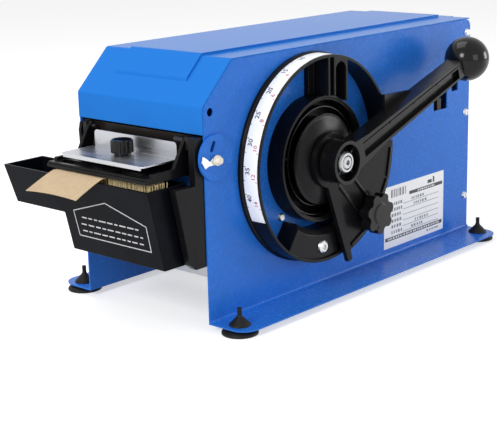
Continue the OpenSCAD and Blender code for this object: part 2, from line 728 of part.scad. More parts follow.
module shaft_bushes() {
    color("tan") place() {
        for (x = [inner_x - 4, -half_w - 0.5]) bush(x, sheet_t + 4.5, shaft_d, [dial_y, dial_z]);
        bush(-half_w - 0.5, sheet_t + 4.5, small_shaft_d, [feed_y, feed_z]);
        bush(inner_x - 9, 9, small_shaft_d, [feed_y, feed_z]);
        bush(inner_x - 9, 9, small_shaft_d - 2*run_gap, idler_at);
    }
}
press_z = tape_z + web_t + web_gap + press_d/2;
press_pin_d = 6;
module press_roller() {
    color("gray") place() difference() {
        union() {
            rod_x(tape_x - roller_w/2 + 2, roller_w - 4, press_d, feed_y, press_z);
            rod_x(tape_x - roller_w/2 - 8, roller_w + 16, press_pin_d, feed_y, press_z);
        }
    }
}
module press_bracket() {
    color(steel) place() {
        for (s = [-1, 1]) difference() {
            translate([tape_x + s*(roller_w/2 + 3) - 1.5, feed_y - 8, press_z - 6]) cube([3, 16, 26]);
            rod_x(-body_w, 2*body_w, press_pin_d + 2*run_gap, feed_y, press_z);
        }
        translate([tape_x - roller_w/2 - 4.5, feed_y - 8, press_z + 18]) cube([roller_w + 9, 16, 3]);
        translate([-inner_x, feed_y - 8, press_z + 21]) cube([inner_x*2, 16, 2]);
    }
}

// ---- tape path ----
guide_d = 8;
guide_y = 88;
guide_z = tape_z + web_t + web_gap + guide_d/2;
roll_z = base_z + sheet_t + 5 + cradle_d/2 + sqrt(pow(roll_d/2 + cradle_d/2 + face_gap, 2)
    - pow(cradle_span/2, 2));
module guide_bar() {
    color(steel) place() rod_x(-inner_x, inner_x*2 - 36, guide_d, guide_y, guide_z);
}
throat_w = tape_w + 14;
throat_t = 1.5;
throat_z = tape_z - web_gap - throat_t;
throat_front = -11;
throat_from = feed_y + 24;
throat_to = guide_y + 16;
throat_leg = 12;
module throat_plate() {
    color(steel) place() {
        for (y = [[throat_front, knife_y - 3], [throat_from, throat_to]])
            translate([tape_x - throat_w/2, y[0], throat_z]) cube([throat_w, y[1] - y[0], throat_t]);
        for (s = [-1, 1]) translate([tape_x + s*throat_w/2 - throat_t, throat_from,
                tape_z - web_gap - throat_leg])
            cube([2*throat_t, throat_to - throat_from, throat_leg]);
        translate([-inner_x, throat_to - 8, tape_z - web_gap - throat_leg])
            cube([inner_x*2 - 36, 2*throat_t, throat_leg - 2]);
    }
}
web_top = tape_z + web_t;
// the web rises from the guide bar to the top of the roll
roll_gap_r = roll_d/2 + web_gap;
guide_gap_r = guide_d/2 + web_gap + web_t;
rise = [roll_y - guide_y, roll_z - guide_z];
rise_len = norm(rise);
rise_a = atan2(rise[1], rise[0]) + asin((roll_gap_r + guide_gap_r)/rise_len);
web_touch = [roll_y + roll_gap_r*cos(rise_a + 90), roll_z + roll_gap_r*sin(rise_a + 90)];
tip_n = 8;
tip_start = -62;
function tip_at(t) = [tip_start - (tape_out + tip_start)*t, tape_z - tape_drop*pow(t, 1.15)];
web_path = concat(
    [for (i = [tip_n:-1:0]) tip_at(i/tip_n)],
    arc(guide_y, guide_z, guide_gap_r, -90, rise_a - 90, 3), [web_touch],
    arc(roll_y, roll_z, roll_gap_r, rise_a + 84, rise_a + 60, 6));
function web_offset(p, d) = [for (i = [0:len(p) - 1])
    let (a = p[max(i - 1, 0)], b = p[min(i + 1, len(p) - 1)], v = (b - a)/norm(b - a))
    p[i] + d*[-v[1], v[0]]];
web_points = concat(web_path, [for (i = [len(web_path) - 1:-1:0]) web_offset(web_path, web_t)[i]]);
module tape_web() {
    color(paper) place() across(tape_x - tape_w/2, tape_w) polygon(web_points);
}
module tape_roll() {
    color(paper) place() difference() {
        rod_x(tape_x - tape_w/2, tape_w, roll_d, roll_y, roll_z);
        rod_x(tape_x - tape_w/2 - 1, tape_w + 2, core_d + 6, roll_y, roll_z);
    }
}
module roll_core() {
    color("tan") place() difference() {
        rod_x(tape_x - tape_w/2, tape_w, core_d + 6, roll_y, roll_z);
        rod_x(tape_x - tape_w/2 - 1, tape_w + 2, core_d, roll_y, roll_z);
    }
}
cradle_z = base_z + sheet_t + 5 + cradle_d/2;
cradle_pin_d = 5;
cradle_len = tape_w + 24;
module cradle_roller(s) {
    color("gray") place() {
        rod_x(tape_x - cradle_len/2 + 3, cradle_len - 6, cradle_d, roll_y + s*cradle_span/2, cradle_z);
        rod_x(tape_x - cradle_len/2 - 3, cradle_len + 6, cradle_pin_d, roll_y + s*cradle_span/2,
            cradle_z);
    }
}
module cradle_roller_front() {
    cradle_roller(-1);
}
module cradle_roller_rear() {
    cradle_roller(1);
}
module cradle_brackets() {
    color(steel) place() for (s = [-1, 1]) for (e = [-1, 1]) difference() {
        translate([tape_x + e*(cradle_len/2 - 1) - 1, roll_y + s*cradle_span/2 - 8, base_z + sheet_t])
            cube([2, 16, cradle_d + 5]);
        rod_x(-body_w, 2*body_w, cradle_pin_d + 2*run_gap, roll_y + s*cradle_span/2, cradle_z);
    }
}
module roll_guides() {
    color(steel) place() for (s = [-1, 1]) {
        translate([tape_x + s*(tape_w/2 + 2.5) - 1, roll_y - 34, base_z + sheet_t + cradle_d + 8])
            cube([2, 68, 60]);
        translate([tape_x + s*(tape_w/2 + 2.5) - 1, roll_y - 8, base_z + sheet_t])
            cube([2, 16, cradle_d + 9]);
        translate([tape_x + s*(tape_w/2 + 8) - 6, roll_y - 8, base_z + sheet_t]) cube([12, 16, 2]);
    }
}
module brake_tab() {
    color(steel) place() {
        translate([inner_x - 3, window_y - 5, window_z - 4]) cube([3, window_len + 33, 3]);
        translate([inner_x - 12, window_y + 9, window_z - 1]) cube([10, 8, 14]);
        translate([inner_x - 3, window_y + 9, window_z - 4]) cube([3, 8, 17]);
    }
}

// ---- knife ----
knife_y = 14;
blade_w = tape_w + 12;
module fixed_blade() {
    color(steel) place() {
        translate([tape_x - blade_w/2, knife_y - 3, tape_z - web_gap - 18]) cube([blade_w, 2.5, 18]);
        translate([-inner_x, knife_y - 3, tape_z - web_gap - 24]) cube([inner_x*2 - 40, 2.5, 8]);
    }
}
module shear_blade() {
    color(steel) place() translate([tape_x - blade_w/2, knife_y + 2.5, web_top + web_gap])
        rotate([90, 0, 0]) linear_extrude(2.5)
        polygon([[0, 0], [blade_w, 1.5], [blade_w, 18], [0, 18]]);
}
module blade_guides() {
    color(black) place() for (s = [-1, 1])
        translate([tape_x + s*(blade_w/2 + 3.3) - 3, knife_y - 2, tape_z - web_gap - 16])
            cube([6, 6, 42]);
}

// ---- press frame over the brush ----
frame_z = web_top + web_gap + 0.4;
frame_back = -6;
pin_y = -3;
// the press frame's pins lie just below the lid's lip
pin_drop = 6.6;
pin_z = nose_h - lip_h - pin_drop;
frame_pin_d = 4;
arm_x = frame_w/2;
pin_out = side_room/2 - 0.25;
pin_in = 18;
lug_t = side_room*0.3;
cheek_t = side_room - pin_out - 0.5;
module press_frame() {
    color(black) place() difference() {
        union() {
            translate([-frame_w/2, frame_front, frame_z]) cube([frame_w, frame_back - frame_front,
                frame_t]);
            translate([-frame_w/2 - 0.5, frame_front - 1.5, frame_z + 0.4]) cube([frame_w + 1, 3, 3]);
            for (s = [-1, 1]) across(s > 0 ? arm_x - 4 : -arm_x, 4) polygon([
                [frame_front + 6, frame_z], [frame_front + 8, frame_z + frame_t + 3],
                [-22, frame_z + frame_t + 3], [-8, pin_z], [pin_y, pin_z + 4],
                [pin_y + 3.5, pin_z + 2], [pin_y + 3.5, pin_z - 4], [frame_back, frame_z]]);
            for (x = [-40, 34]) translate([x, -30, frame_z]) cube([8, 12, plate_z0 - frame_z]);
        }
        for (x = [-60, 18]) translate([x, frame_front + 4, frame_z - 1])
            cube([34, 12, frame_t + 2]);
        translate([-20, frame_front + 22, frame_z - 1]) cube([36, 18, frame_t + 2]);
        rod_x(-body_w, 2*body_w, frame_pin_d + 2*run_gap, pin_y, pin_z);
    }
}
plate_lift = 7.9;
plate_z0 = frame_z + frame_t + plate_lift;
plate_r = 3;
plate_ear = 4;
plate_rise = 17.5;
plate_back = -9;
module press_plate() {
    color("silver") place() difference() {
        union() {
            translate([plate_x, 0, plate_z0]) linear_extrude(plate_t) polygon(concat(
                arc(plate_w/2 - plate_r, plate_front + plate_r, plate_r, -90, 0),
                [[plate_w/2, plate_back + plate_t], [-plate_w/2, plate_back + plate_t]],
                arc(-plate_w/2 + plate_r, plate_front + plate_r, plate_r, 180, 270)));
            translate([plate_x, plate_back + plate_t, plate_z0]) rotate([90, 0, 0])
                linear_extrude(plate_t) polygon(concat(
                    [[-plate_w/2, 0], [plate_w/2, 0]],
                    arc(plate_w/2 - plate_ear, plate_rise - plate_ear, plate_ear, 0, 90),
                    arc(-plate_w/2 + plate_ear, plate_rise - plate_ear, plate_ear, 90, 180)));
            translate([plate_x - plate_w/2 + plate_r, plate_front, plate_z0 - 2.5])
                cube([plate_w - 2*plate_r, plate_t, 3]);
        }
        translate([plate_x, knob_y, plate_z0 - 1]) cylinder(d = 6.1, h = plate_t + 2);
        translate([plate_x - 26, knob_y - 16, plate_z0 - 1]) cube([13, 2.2, plate_t + 2]);
    }
}
flutes = 16;
knob_y = -25;
module press_knob() {
    color(black) place() translate([plate_x, knob_y, plate_z0 + plate_t + 0.1]) {
        difference() {
            union() {
                cylinder(d1 = knob_d - 6, d2 = knob_d - 4, h = 3);
                translate([0, 0, 2.5]) cylinder(d = knob_d, h = knob_h - 4);
                translate([0, 0, knob_h - 1.5]) cylinder(d1 = knob_d, d2 = knob_d - 3, h = 1.5);
            }
            for (i = [0:flutes - 1]) rotate([0, 0, i*360/flutes]) translate([knob_d/2 + 0.5, 0, 2])
                cylinder(d = 3, h = knob_h, $fn = 16);
        }
        translate([0, 0, -6]) cylinder(d = 6, h = 7);
    }
}
bar_y = 3;
bar_t = 6;
bar_rise = 7.1;
bar_z = web_top + bar_rise;
bar_over = 4;
module hinge_bar() {
    color([0.12, 0.09, 0.08]) place() {
        translate([-inner_x, bar_y, bar_z]) cube([inner_x*2, bar_t, pin_z + bar_over - bar_z]);
        for (s = [-1, 1]) difference() {
            translate([s > 0 ? arm_x + face_gap : -arm_x - face_gap - lug_t, pin_y - 4, pin_z - 8])
                cube([lug_t, bar_y + 1 - (pin_y - 4), 8 + bar_over]);
            rod_x(-body_w, 2*body_w, frame_pin_d + 2*run_gap, pin_y, pin_z);
        }
    }
}
module frame_pin() {
    color(steel) place() {
        rod_x(-arm_x - pin_out, pin_out + 10, frame_pin_d, pin_y, pin_z);
        rod_x(arm_x - pin_in, pin_in + pin_out, frame_pin_d, pin_y, pin_z);
    }
}
coil_turns = 7;
coil_wire = 1.1;
coil_r = 2.9;
coil_pitch = 1.6;
rings = 8;
sides = 6;
coil_n = coil_turns*rings;
function coil_pt(i) = [coil_pitch*i/rings, coil_r*cos(i*360/rings), coil_r*sin(i*360/rings)];
function coil_ring(i) = let (a = i*360/rings) [for (j = [0:sides - 1])
    let (b = j*360/sides) coil_pt(i) + coil_wire/2*[sin(b), cos(b)*cos(a), cos(b)*sin(a)]];
module hold_down_spring() {
    color(steel) place() translate([arm_x - 4 - face_gap - 0.6 - coil_pitch*coil_turns, pin_y, pin_z])
        polyhedron(points = [for (i = [0:coil_n]) each coil_ring(i)],
            faces = concat([[for (j = [0:sides - 1]) j]],
                [for (i = [0:coil_n - 1]) for (j = [0:sides - 1]) each [
                    [i*sides + j, (i + 1)*sides + j, i*sides + (j + 1)%sides],
                    [i*sides + (j + 1)%sides, (i + 1)*sides + j, (i + 1)*sides + (j + 1)%sides]]],
                [[for (j = [sides - 1:-1:0]) coil_n*sides + j]]));
}
echo(coil_gap = coil_pitch - coil_wire);

// ---- water tank and brush ----
function front_at(z) = tank_front + (tank_top - z)*tank_slope;
module tank_side(wall, floor) {
    top = tank_top + (wall > 0 ? 1 : 0);
    polygon([[front_at(top) + wall, top], [front_at(floor) + wall, floor],
        [tank_back - wall, floor], [tank_back - wall, top]]);
}
hopper_slant = 6.5;
hook_in = 10;
hook_t = 2.5;
hook_reach = 6.5;
hook_drop = 8;
hook_z = tank_top - 32.5;
module hopper_front(wall) {
    translate([0, 100, 0]) rotate([90, 0, 0]) linear_extrude(200) polygon([
        [hopper_left + wall, tank_top + (wall > 0 ? 1 : 0)],
        [hopper_left + hopper_slant + wall, hopper_floor + wall], [tank_left + 20, hopper_floor + wall],
        [tank_left + 20, tank_top + (wall > 0 ? 1 : 0)]]);
}
module water_tank() {
    color(black) place() difference() {
        union() {
            across(tank_left, tank_right - tank_left) tank_side(0, tank_floor);
            intersection() {
                across(hopper_left - 1, tank_left - hopper_left + 2) tank_side(0, hopper_floor);
                hopper_front(0);
            }
            // the hook that hangs the tank on its rail
            translate([tank_left + hook_in, tank_back - 0.5, hook_z])
                cube([tank_right - tank_left - 2*hook_in, hook_reach + 0.5, hook_t]);
            translate([tank_left + hook_in, tank_back + hook_reach - hook_t, hook_z - hook_drop])
                cube([tank_right - tank_left - 2*hook_in, hook_t, hook_drop + 1]);
        }
        across(tank_left + tank_wall, tank_right - tank_left - 2*tank_wall)
            tank_side(tank_wall, tank_floor + tank_wall);
        intersection() {
            across(hopper_left, tank_left - hopper_left + tank_wall + 1)
                tank_side(tank_wall, hopper_floor + tank_wall);
            hopper_front(tank_wall);
        }
    }
}
brush_left = -48;
brush_right = 70;
brush_front = -59;
brush_back = -31;
block_back = 5.2;
brush_top = tape_z - web_gap;
module brush() {
    color([0.82, 0.72, 0.35]) place() {
        translate([brush_left, brush_front + block_back, brush_top - bristle_h - 14])
            cube([brush_right - brush_left, brush_back - brush_front - block_back, 14.2]);
        translate([0, 0, brush_top - bristle_h]) linear_extrude(bristle_h)
            for (i = [0:bristle_cols - 1]) for (j = [0:bristle_rows - 1])
                translate([brush_left + 1.6 + (brush_right - brush_left - 3.2)*i/(bristle_cols - 1),
                    brush_front + 6 + (brush_back - brush_front - 8)*j/(bristle_rows - 1)])
                    rotate(45) square(1.7, center = true);
        for (x = [brush_left + 8, brush_right - 20]) translate([x, -40, tank_floor + tank_wall])
            cube([12, 10, brush_top - bristle_h - 13 - tank_floor - tank_wall]);
    }
}
rail_in = 6;
rail_w = tank_right - tank_left - 8;
rail_t = hook_reach - hook_t - 2*face_gap;
rail_h = 11.7;
rail_z = hook_z - face_gap - rail_h;
module tank_rail() {
    color(steel) place() {
        translate([tank_left + rail_in, tank_back + face_gap, rail_z]) cube([rail_w, rail_t, rail_h]);
        translate([tank_left + rail_in, tank_back + face_gap, rail_z - 2])
            cube([rail_w, -tank_back - face_gap, 3]);
    }
}
module front_carrier() {
    color(black) place() translate([-inner_x, 0, 58]) cube([inner_x*2, 3, throat_z - 58]);
}
module right_cheek() {
    color(black) place() {
        across(inner_x - cheek_t, cheek_t) polygon([[-38, 139], [0, 138], [0, 58], [-14, 58], [-22, 64]]);
        translate([inner_x - cheek_t, -12, 137]) cube([cheek_t, 12, pin_z - 132]);
    }
}
cheek_z = web_top + 1.1;
left_cheek_t = 4;
module left_cheek() {
    color(black) place() across(-inner_x, left_cheek_t) polygon([[-4, pin_z - 6], [-2, pin_z + 2],
        [0, pin_z + 2], [0, cheek_z], [-3, cheek_z]]);
}

// ---- latch at the front ear ----
latch_screw_d = 5;
latch_y = 11;
latch_z = 160;
module latch_hook() {
    color(steel) place() difference() {
        across(half_w + ear_t + face_gap, 2) polygon(concat(arc(latch_y, latch_z, 5, -60, 120),
            [[2, 160], [-3, 164], [-7, 166], [-8, 160], [-4, 154], [1, 156]]));
        rod_x(half_w, 10, latch_screw_d + 2*run_gap, latch_y, latch_z);
    }
}
module latch_screw() {
    color([0.85, 0.82, 0.75]) place() {
        rod_x(inner_x, sheet_t + ear_t + 4, latch_screw_d, latch_y, latch_z);
        translate([half_w + ear_t + 2 + 2*face_gap, latch_y, latch_z]) rotate([0, 90, 0]) {
            cylinder(d = 10, h = 2.2);
            translate([0, 0, 2]) cylinder(d1 = 7.5, d2 = 6.5, h = 3.5);
        }
    }
}

// the whole object's box, in the housing's frame
box_left = min(hopper_left, -(half_w + flange_w));
box_right = max(ball_x + ball_d/2, half_w + flange_w);
box_rear = panel_len + hinge_d;
box_front = min([for (p = web_points) p[0]]);

side_panel_right();
side_panel_left();
back_panel();
base_plate();
tie_bars();
front_carrier();
lid();
lid_hinge();
lid_hinge_pin();
rubber_feet();
panel_screws();
rating_plate();
dial_ring();
scale_strip();
stop_block();
spring_housing();
return_spring();
spring_bell();
selector_arm();
star_knob();
star_stud();
lever_arm();
ball_knob();
lever_bolt();
lever_shaft();
drive_gear();
idler_gear();
idler_shaft();
feed_gear();
feed_roller();
feed_shaft();
shaft_bushes();
press_roller();
press_bracket();
guide_bar();
throat_plate();
fixed_blade();
shear_blade();
blade_guides();
press_frame();
press_plate();
press_knob();
hinge_bar();
frame_pin();
hold_down_spring();
water_tank();
brush();
tank_rail();
right_cheek();
left_cheek();
latch_hook();
latch_screw();
roll_guides();
tape_roll();
roll_core();
cradle_roller_front();
cradle_roller_rear();
cradle_brackets();
tape_web();
brake_tab();
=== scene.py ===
import bpy
import json
import math
import random
from mathutils import Euler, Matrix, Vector


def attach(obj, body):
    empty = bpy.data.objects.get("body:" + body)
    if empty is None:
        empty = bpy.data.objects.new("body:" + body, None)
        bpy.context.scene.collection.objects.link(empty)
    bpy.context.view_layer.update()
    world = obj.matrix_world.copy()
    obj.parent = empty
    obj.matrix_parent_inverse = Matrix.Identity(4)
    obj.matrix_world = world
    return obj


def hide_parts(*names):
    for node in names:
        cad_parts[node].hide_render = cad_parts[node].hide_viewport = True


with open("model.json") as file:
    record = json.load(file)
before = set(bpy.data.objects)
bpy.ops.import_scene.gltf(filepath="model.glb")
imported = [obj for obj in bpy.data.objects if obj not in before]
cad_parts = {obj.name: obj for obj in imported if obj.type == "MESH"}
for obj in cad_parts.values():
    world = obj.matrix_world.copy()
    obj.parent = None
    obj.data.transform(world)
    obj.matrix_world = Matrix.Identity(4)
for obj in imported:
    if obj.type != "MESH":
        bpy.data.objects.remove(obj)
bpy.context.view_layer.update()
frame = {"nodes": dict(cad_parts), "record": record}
nodeOf = frame["nodes"]
record = frame["record"]
bodyOf = {n: b for b, members in record["behaviour"]["bodies"].items() for n in members}
slotOf = {s["node"]: s["material_slot"] for s in record["subparts"]}
mm = 0.001
housingOrigin = Vector((-9.35, -179.37, 6.5))  # where the housing's own zero lies in the frame, in mm


def place(x, y, z):
    # a point in the housing's millimetres, as metres in the frame
    return (Vector((x, y, z)) + housingOrigin) * mm


# ---- camera ----
cameraSetup = {"location": (0.8869, -1.00839, 0.41748), "turn": (75.3767, 1.3557, 42.0105), "lens": 92.616}
cameraData = bpy.data.cameras.new("photoCamera")
cameraData.lens = cameraSetup["lens"]
cameraData.sensor_width = 36
cameraData.clip_end = 30
photoCamera = bpy.data.objects.new("photoCamera", cameraData)
photoCamera.location = cameraSetup["location"]
photoCamera.rotation_euler = Euler([math.radians(a) for a in cameraSetup["turn"]])
bpy.context.scene.collection.objects.link(photoCamera)
bpy.context.scene.camera = photoCamera
print("camera set")


# ---- shader groups ----
def startGroup(name, inputs, outputs):
    # a node group with float or vector inputs given as {name: default}
    tree = bpy.data.node_groups.new(name, "ShaderNodeTree")
    for key, default in inputs.items():
        kind = "NodeSocketVector" if default is None else "NodeSocketFloat"
        socket = tree.interface.new_socket(name=key, in_out="INPUT", socket_type=kind)
        if default is not None:
            socket.default_value = default
    for key in outputs:
        tree.interface.new_socket(name=key, in_out="OUTPUT", socket_type="NodeSocketFloat")
    return tree, tree.nodes.new("NodeGroupInput"), tree.nodes.new("NodeGroupOutput")


def addMath(tree, operation, first, second, clamp=False):
    node = tree.nodes.new("ShaderNodeMath")
    node.operation = operation
    node.use_clamp = clamp
    for socket, value in zip(node.inputs, (first, second)):
        if isinstance(value, (int, float)):
            socket.default_value = value
        else:
            tree.links.new(value, socket)
    return node.outputs[0]


def addNoise(tree, vector, scale, detail=3.0, rough=0.5):
    node = tree.nodes.new("ShaderNodeTexNoise")
    node.inputs["Detail"].default_value = detail
    node.inputs["Roughness"].default_value = rough
    tree.links.new(vector, node.inputs["Vector"])
    if isinstance(scale, (int, float)):
        node.inputs["Scale"].default_value = scale
    else:
        tree.links.new(scale, node.inputs["Scale"])
    return node.outputs["Fac"]


def addBlend(tree, first, second, share, clamp=False):
    # share of the first value and the rest of the second
    return addMath(tree, "ADD", addMath(tree, "MULTIPLY", first, share),
                   addMath(tree, "MULTIPLY", second, 1 - share), clamp)


def addRange(tree, value, low, high, newLow=0.0, newHigh=1.0):
    node = tree.nodes.new("ShaderNodeMapRange")
    tree.links.new(value, node.inputs["Value"])
    for key, number in (("From Min", low), ("From Max", high), ("To Min", newLow), ("To Max", newHigh)):
        if isinstance(number, (int, float)):
            node.inputs[key].default_value = number
        else:
            tree.links.new(number, node.inputs[key])
    return node.outputs["Result"]


def makeCoatGrain():
    # sprayed and baked paint: a fine speckle on a slow waviness
    sizes = {"Vector": None, "Speckle": 700.0, "Wave": 60.0}
    tree, start, end = startGroup("coatGrain", sizes, ["Height", "Mottle"])
    fine = addNoise(tree, start.outputs["Vector"], start.outputs["Speckle"], 2.0)
    slow = addNoise(tree, start.outputs["Vector"], start.outputs["Wave"], 2.0)
    tree.links.new(addBlend(tree, fine, slow, 0.35), end.inputs["Height"])
    tree.links.new(addRange(tree, fine, 0.3, 0.7), end.inputs["Mottle"])
    return tree


def makeCastSkin():
    # sand-cast surface under enamel: small pits and soft hollows
    sizes = {"Vector": None, "Grain": 450.0, "Hollow": 45.0}
    tree, start, end = startGroup("castSkin", sizes, ["Height", "Rub"])
    grain = addNoise(tree, start.outputs["Vector"], start.outputs["Grain"], 4.0, 0.6)
    hollow = addNoise(tree, start.outputs["Vector"], start.outputs["Hollow"], 3.0)
    tree.links.new(addBlend(tree, grain, hollow, 0.5), end.inputs["Height"])
    tree.links.new(addRange(tree, hollow, 0.35, 0.7), end.inputs["Rub"])
    return tree


def makeBrushLines():
    # long fine scratches along X
    sizes = {"Vector": None, "Fine": 900.0, "Stretch": 0.02}
    tree, start, end = startGroup("brushLines", sizes, ["Height", "Streak"])
    mapping = tree.nodes.new("ShaderNodeMapping")
    combine = tree.nodes.new("ShaderNodeCombineXYZ")
    tree.links.new(start.outputs["Stretch"], combine.inputs["X"])
    combine.inputs["Y"].default_value = 1
    combine.inputs["Z"].default_value = 1
    tree.links.new(start.outputs["Vector"], mapping.inputs["Vector"])
    tree.links.new(combine.outputs["Vector"], mapping.inputs["Scale"])
    lines = addNoise(tree, mapping.outputs["Vector"], start.outputs["Fine"], 3.0, 0.6)
    wide = addNoise(tree, mapping.outputs["Vector"], 120.0, 2.0)
    tree.links.new(lines, end.inputs["Height"])
    tree.links.new(addBlend(tree, lines, wide, 0.6), end.inputs["Streak"])
    return tree


def makePaperFibre():
    # pressed fibres: short dark and light flecks, and a cloudy tone
    sizes = {"Vector": None, "Fibre": 350.0, "Cloud": 40.0}
    tree, start, end = startGroup("paperFibre", sizes, ["Height", "Fleck", "Tone"])
    mapping = tree.nodes.new("ShaderNodeMapping")
    mapping.inputs["Scale"].default_value = (1, 0.25, 1)
    tree.links.new(start.outputs["Vector"], mapping.inputs["Vector"])
    fibre = addNoise(tree, mapping.outputs["Vector"], start.outputs["Fibre"], 4.0, 0.7)
    cloud = addNoise(tree, start.outputs["Vector"], start.outputs["Cloud"], 3.0)
    tree.links.new(fibre, end.inputs["Height"])
    tree.links.new(addRange(tree, fibre, 0.35, 0.65), end.inputs["Fleck"])
    tree.links.new(addRange(tree, cloud, 0.3, 0.7), end.inputs["Tone"])
    return tree


shaderGroups = {"coatGrain": makeCoatGrain(), "castSkin": makeCastSkin(),
                "brushLines": makeBrushLines(), "paperFibre": makePaperFibre()}


def startMaterial(name, colour, rough, metal=0.0, **sockets):
    material = bpy.data.materials.new(name)
    material.use_nodes = True
    material.diffuse_color = (*colour, 1)
    shader = material.node_tree.nodes["Principled BSDF"]
    shader.inputs["Base Color"].default_value = (*colour, 1)
    shader.inputs["Roughness"].default_value = rough
    shader.inputs["Metallic"].default_value = metal
    for key, value in sockets.items():
        shader.inputs[key.replace("_", " ")].default_value = value
    return material, material.node_tree, shader


def addGroup(tree, name, **values):
    node = tree.nodes.new("ShaderNodeGroup")
    node.node_tree = shaderGroups[name]
    coordinates = tree.nodes.new("ShaderNodeTexCoord")
    tree.links.new(coordinates.outputs["Object"], node.inputs["Vector"])
    for key, value in values.items():
        node.inputs[key].default_value = value
    return node


def addBump(tree, shader, height, depth, strength=1.0):
    bump = tree.nodes.new("ShaderNodeBump")
    bump.inputs["Distance"].default_value = depth
    bump.inputs["Strength"].default_value = strength
    tree.links.new(height, bump.inputs["Height"])
    tree.links.new(bump.outputs["Normal"], shader.inputs["Normal"])


def shade(colour, factor, more=0.0):
    return [min(c * factor + more, 1) for c in colour]


def addTint(tree, shader, mask, low, high):
    # the base colour runs from low to high with the mask
    mix = tree.nodes.new("ShaderNodeMix")
    mix.data_type = "RGBA"
    mix.inputs["A"].default_value = (*low, 1)
    mix.inputs["B"].default_value = (*high, 1)
    for socket in mix.inputs:
        if socket.name == "Factor" and socket.type == "VALUE":
            tree.links.new(mask, socket)
            break
    tree.links.new(next(o for o in mix.outputs if o.type == "RGBA"), shader.inputs["Base Color"])


def makeCoat(name, colour, rough, speckle=700.0, depth=0.00004, shine=0.3):
    material, tree, shader = startMaterial(name, colour, rough, Specular_IOR_Level=shine)
    grain = addGroup(tree, "coatGrain", Speckle=speckle)
    addTint(tree, shader, grain.outputs["Mottle"], shade(colour, 0.93), shade(colour, 1.07))
    roughness = addRange(tree, grain.outputs["Mottle"], 0, 1, rough - 0.05, rough + 0.07)
    tree.links.new(roughness, shader.inputs["Roughness"])
    addBump(tree, shader, grain.outputs["Height"], depth)
    return material


def makeCasting(name, colour, rough, grainSize=450.0, depth=0.00006, shine=0.2):
    material, tree, shader = startMaterial(name, colour, rough, Specular_IOR_Level=shine)
    skin = addGroup(tree, "castSkin", Grain=grainSize)
    addTint(tree, shader, skin.outputs["Rub"], shade(colour, 0.8), shade(colour, 1.25))
    roughness = addRange(tree, skin.outputs["Rub"], 0, 1, rough + 0.06, rough - 0.06)
    tree.links.new(roughness, shader.inputs["Roughness"])
    addBump(tree, shader, skin.outputs["Height"], depth)
    return material


def makeMetal(name, colour, rough, fine=900.0, stretch=0.02, depth=0.00002):
    material, tree, shader = startMaterial(name, colour, rough, 1.0)
    lines = addGroup(tree, "brushLines", Fine=fine, Stretch=stretch)
    addTint(tree, shader, lines.outputs["Streak"], shade(colour, 0.82), shade(colour, 1.12))
    roughness = addRange(tree, lines.outputs["Streak"], 0.3, 0.7, rough - 0.06, rough + 0.1)
    tree.links.new(roughness, shader.inputs["Roughness"])
    addBump(tree, shader, lines.outputs["Height"], depth)
    return material


def makePaper(name, light, dark, rough=0.75, depth=0.00006):
    material, tree, shader = startMaterial(name, light, rough)
    fibre = addGroup(tree, "paperFibre")
    mask = addBlend(tree, fibre.outputs["Fleck"], fibre.outputs["Tone"], 0.55, True)
    addTint(tree, shader, mask, dark, light)
    addBump(tree, shader, fibre.outputs["Height"], depth)
    return material


finishes = {
    "blue_coat": makeCoat("bluePowderCoat", (0.02, 0.158, 0.62), 0.24, 330.0, 0.0002, 0.17),
    # the lid's smooth enamel: its blue is painted a little lighter and more azure than the panels' coat, as
    # painted light for the stronger light that falls on the lid
    "blue_gloss": makeCoat("blueSmoothEnamelPaintedLighter", (0.017, 0.175, 0.6), 0.2, 2000.0, 0.000004, 0.03),
    "black_casting": makeCasting("blackEnamelCasting", (0.005, 0.005, 0.006), 0.3, shine=0.13),
    "black_gloss": makeCasting("blackPhenolicBall", (0.004, 0.004, 0.0045), 0.1, 900.0, 0.000004, 0.25),
    "black_plastic": makeCasting("blackMouldedPlastic", (0.003, 0.0035, 0.006), 0.3, 900.0, 0.00001, 0.05),
    "black_rubber": makeCasting("blackRubber", (0.007, 0.007, 0.0075), 0.5, 600.0, 0.00005, 0.2),
    "zinc_steel": makeMetal("zincPlate", (0.68, 0.69, 0.71), 0.32, 400.0, 0.6),
    "bright_steel": makeMetal("brushedSteel", (0.56, 0.57, 0.6), 0.28, 1100.0, 0.015),
    "turned_steel": makeMetal("turnedSteel", (0.48, 0.485, 0.5), 0.34, 900.0, 1.0),
    "chrome_plate": makeMetal("chromePlate", (0.82, 0.83, 0.86), 0.1, 300.0, 1.0, 0.000005),
    "bronze": makeMetal("sinteredBronze", (0.55, 0.36, 0.16), 0.42, 1200.0, 1.0),
    "white_card": makeCoat("whitePrintedFilm", (0.93, 0.93, 0.94), 0.38, 1200.0, 0.00001, 0.3),
    "kraft_paper": makePaper("kraftPaper", (0.57, 0.43, 0.275), (0.45, 0.33, 0.2)),
    "grey_board": makePaper("greyBoard", (0.5, 0.45, 0.38), (0.38, 0.33, 0.27)),
    "bristle": makePaper("strawBristle", (0.74, 0.62, 0.36), (0.46, 0.36, 0.16), 0.5),
    "cream_plastic": makeCoat("creamPlastic", (0.78, 0.72, 0.6), 0.3, 900.0, 0.00001, 0.4),
    "black_soft_gloss": makeCasting("blackGlossEnamel", (0.005, 0.005, 0.0055), 0.22, 500.0, 0.00003, 0.25),
    "spring_steel": makeMetal("blackedSpringSteel", (0.055, 0.055, 0.062), 0.28, 900.0, 1.0),
    "dark_brown": makeCasting("brownBakedEnamel", (0.012, 0.009, 0.008), 0.36),
}
print("finishes made:", len(finishes))


# ---- dressing of the carried-over parts ----
def pickNone():
    if bpy.context.object and bpy.context.object.mode != "OBJECT":
        bpy.ops.object.mode_set(mode="OBJECT")
    bpy.ops.object.select_all(action="DESELECT")


def pick(piece):
    pickNone()
    piece.hide_set(False)
    piece.select_set(True)
    bpy.context.view_layer.objects.active = piece


def setFinish(piece, finish):
    piece.data.materials.clear()
    piece.data.materials.append(finishes[finish])


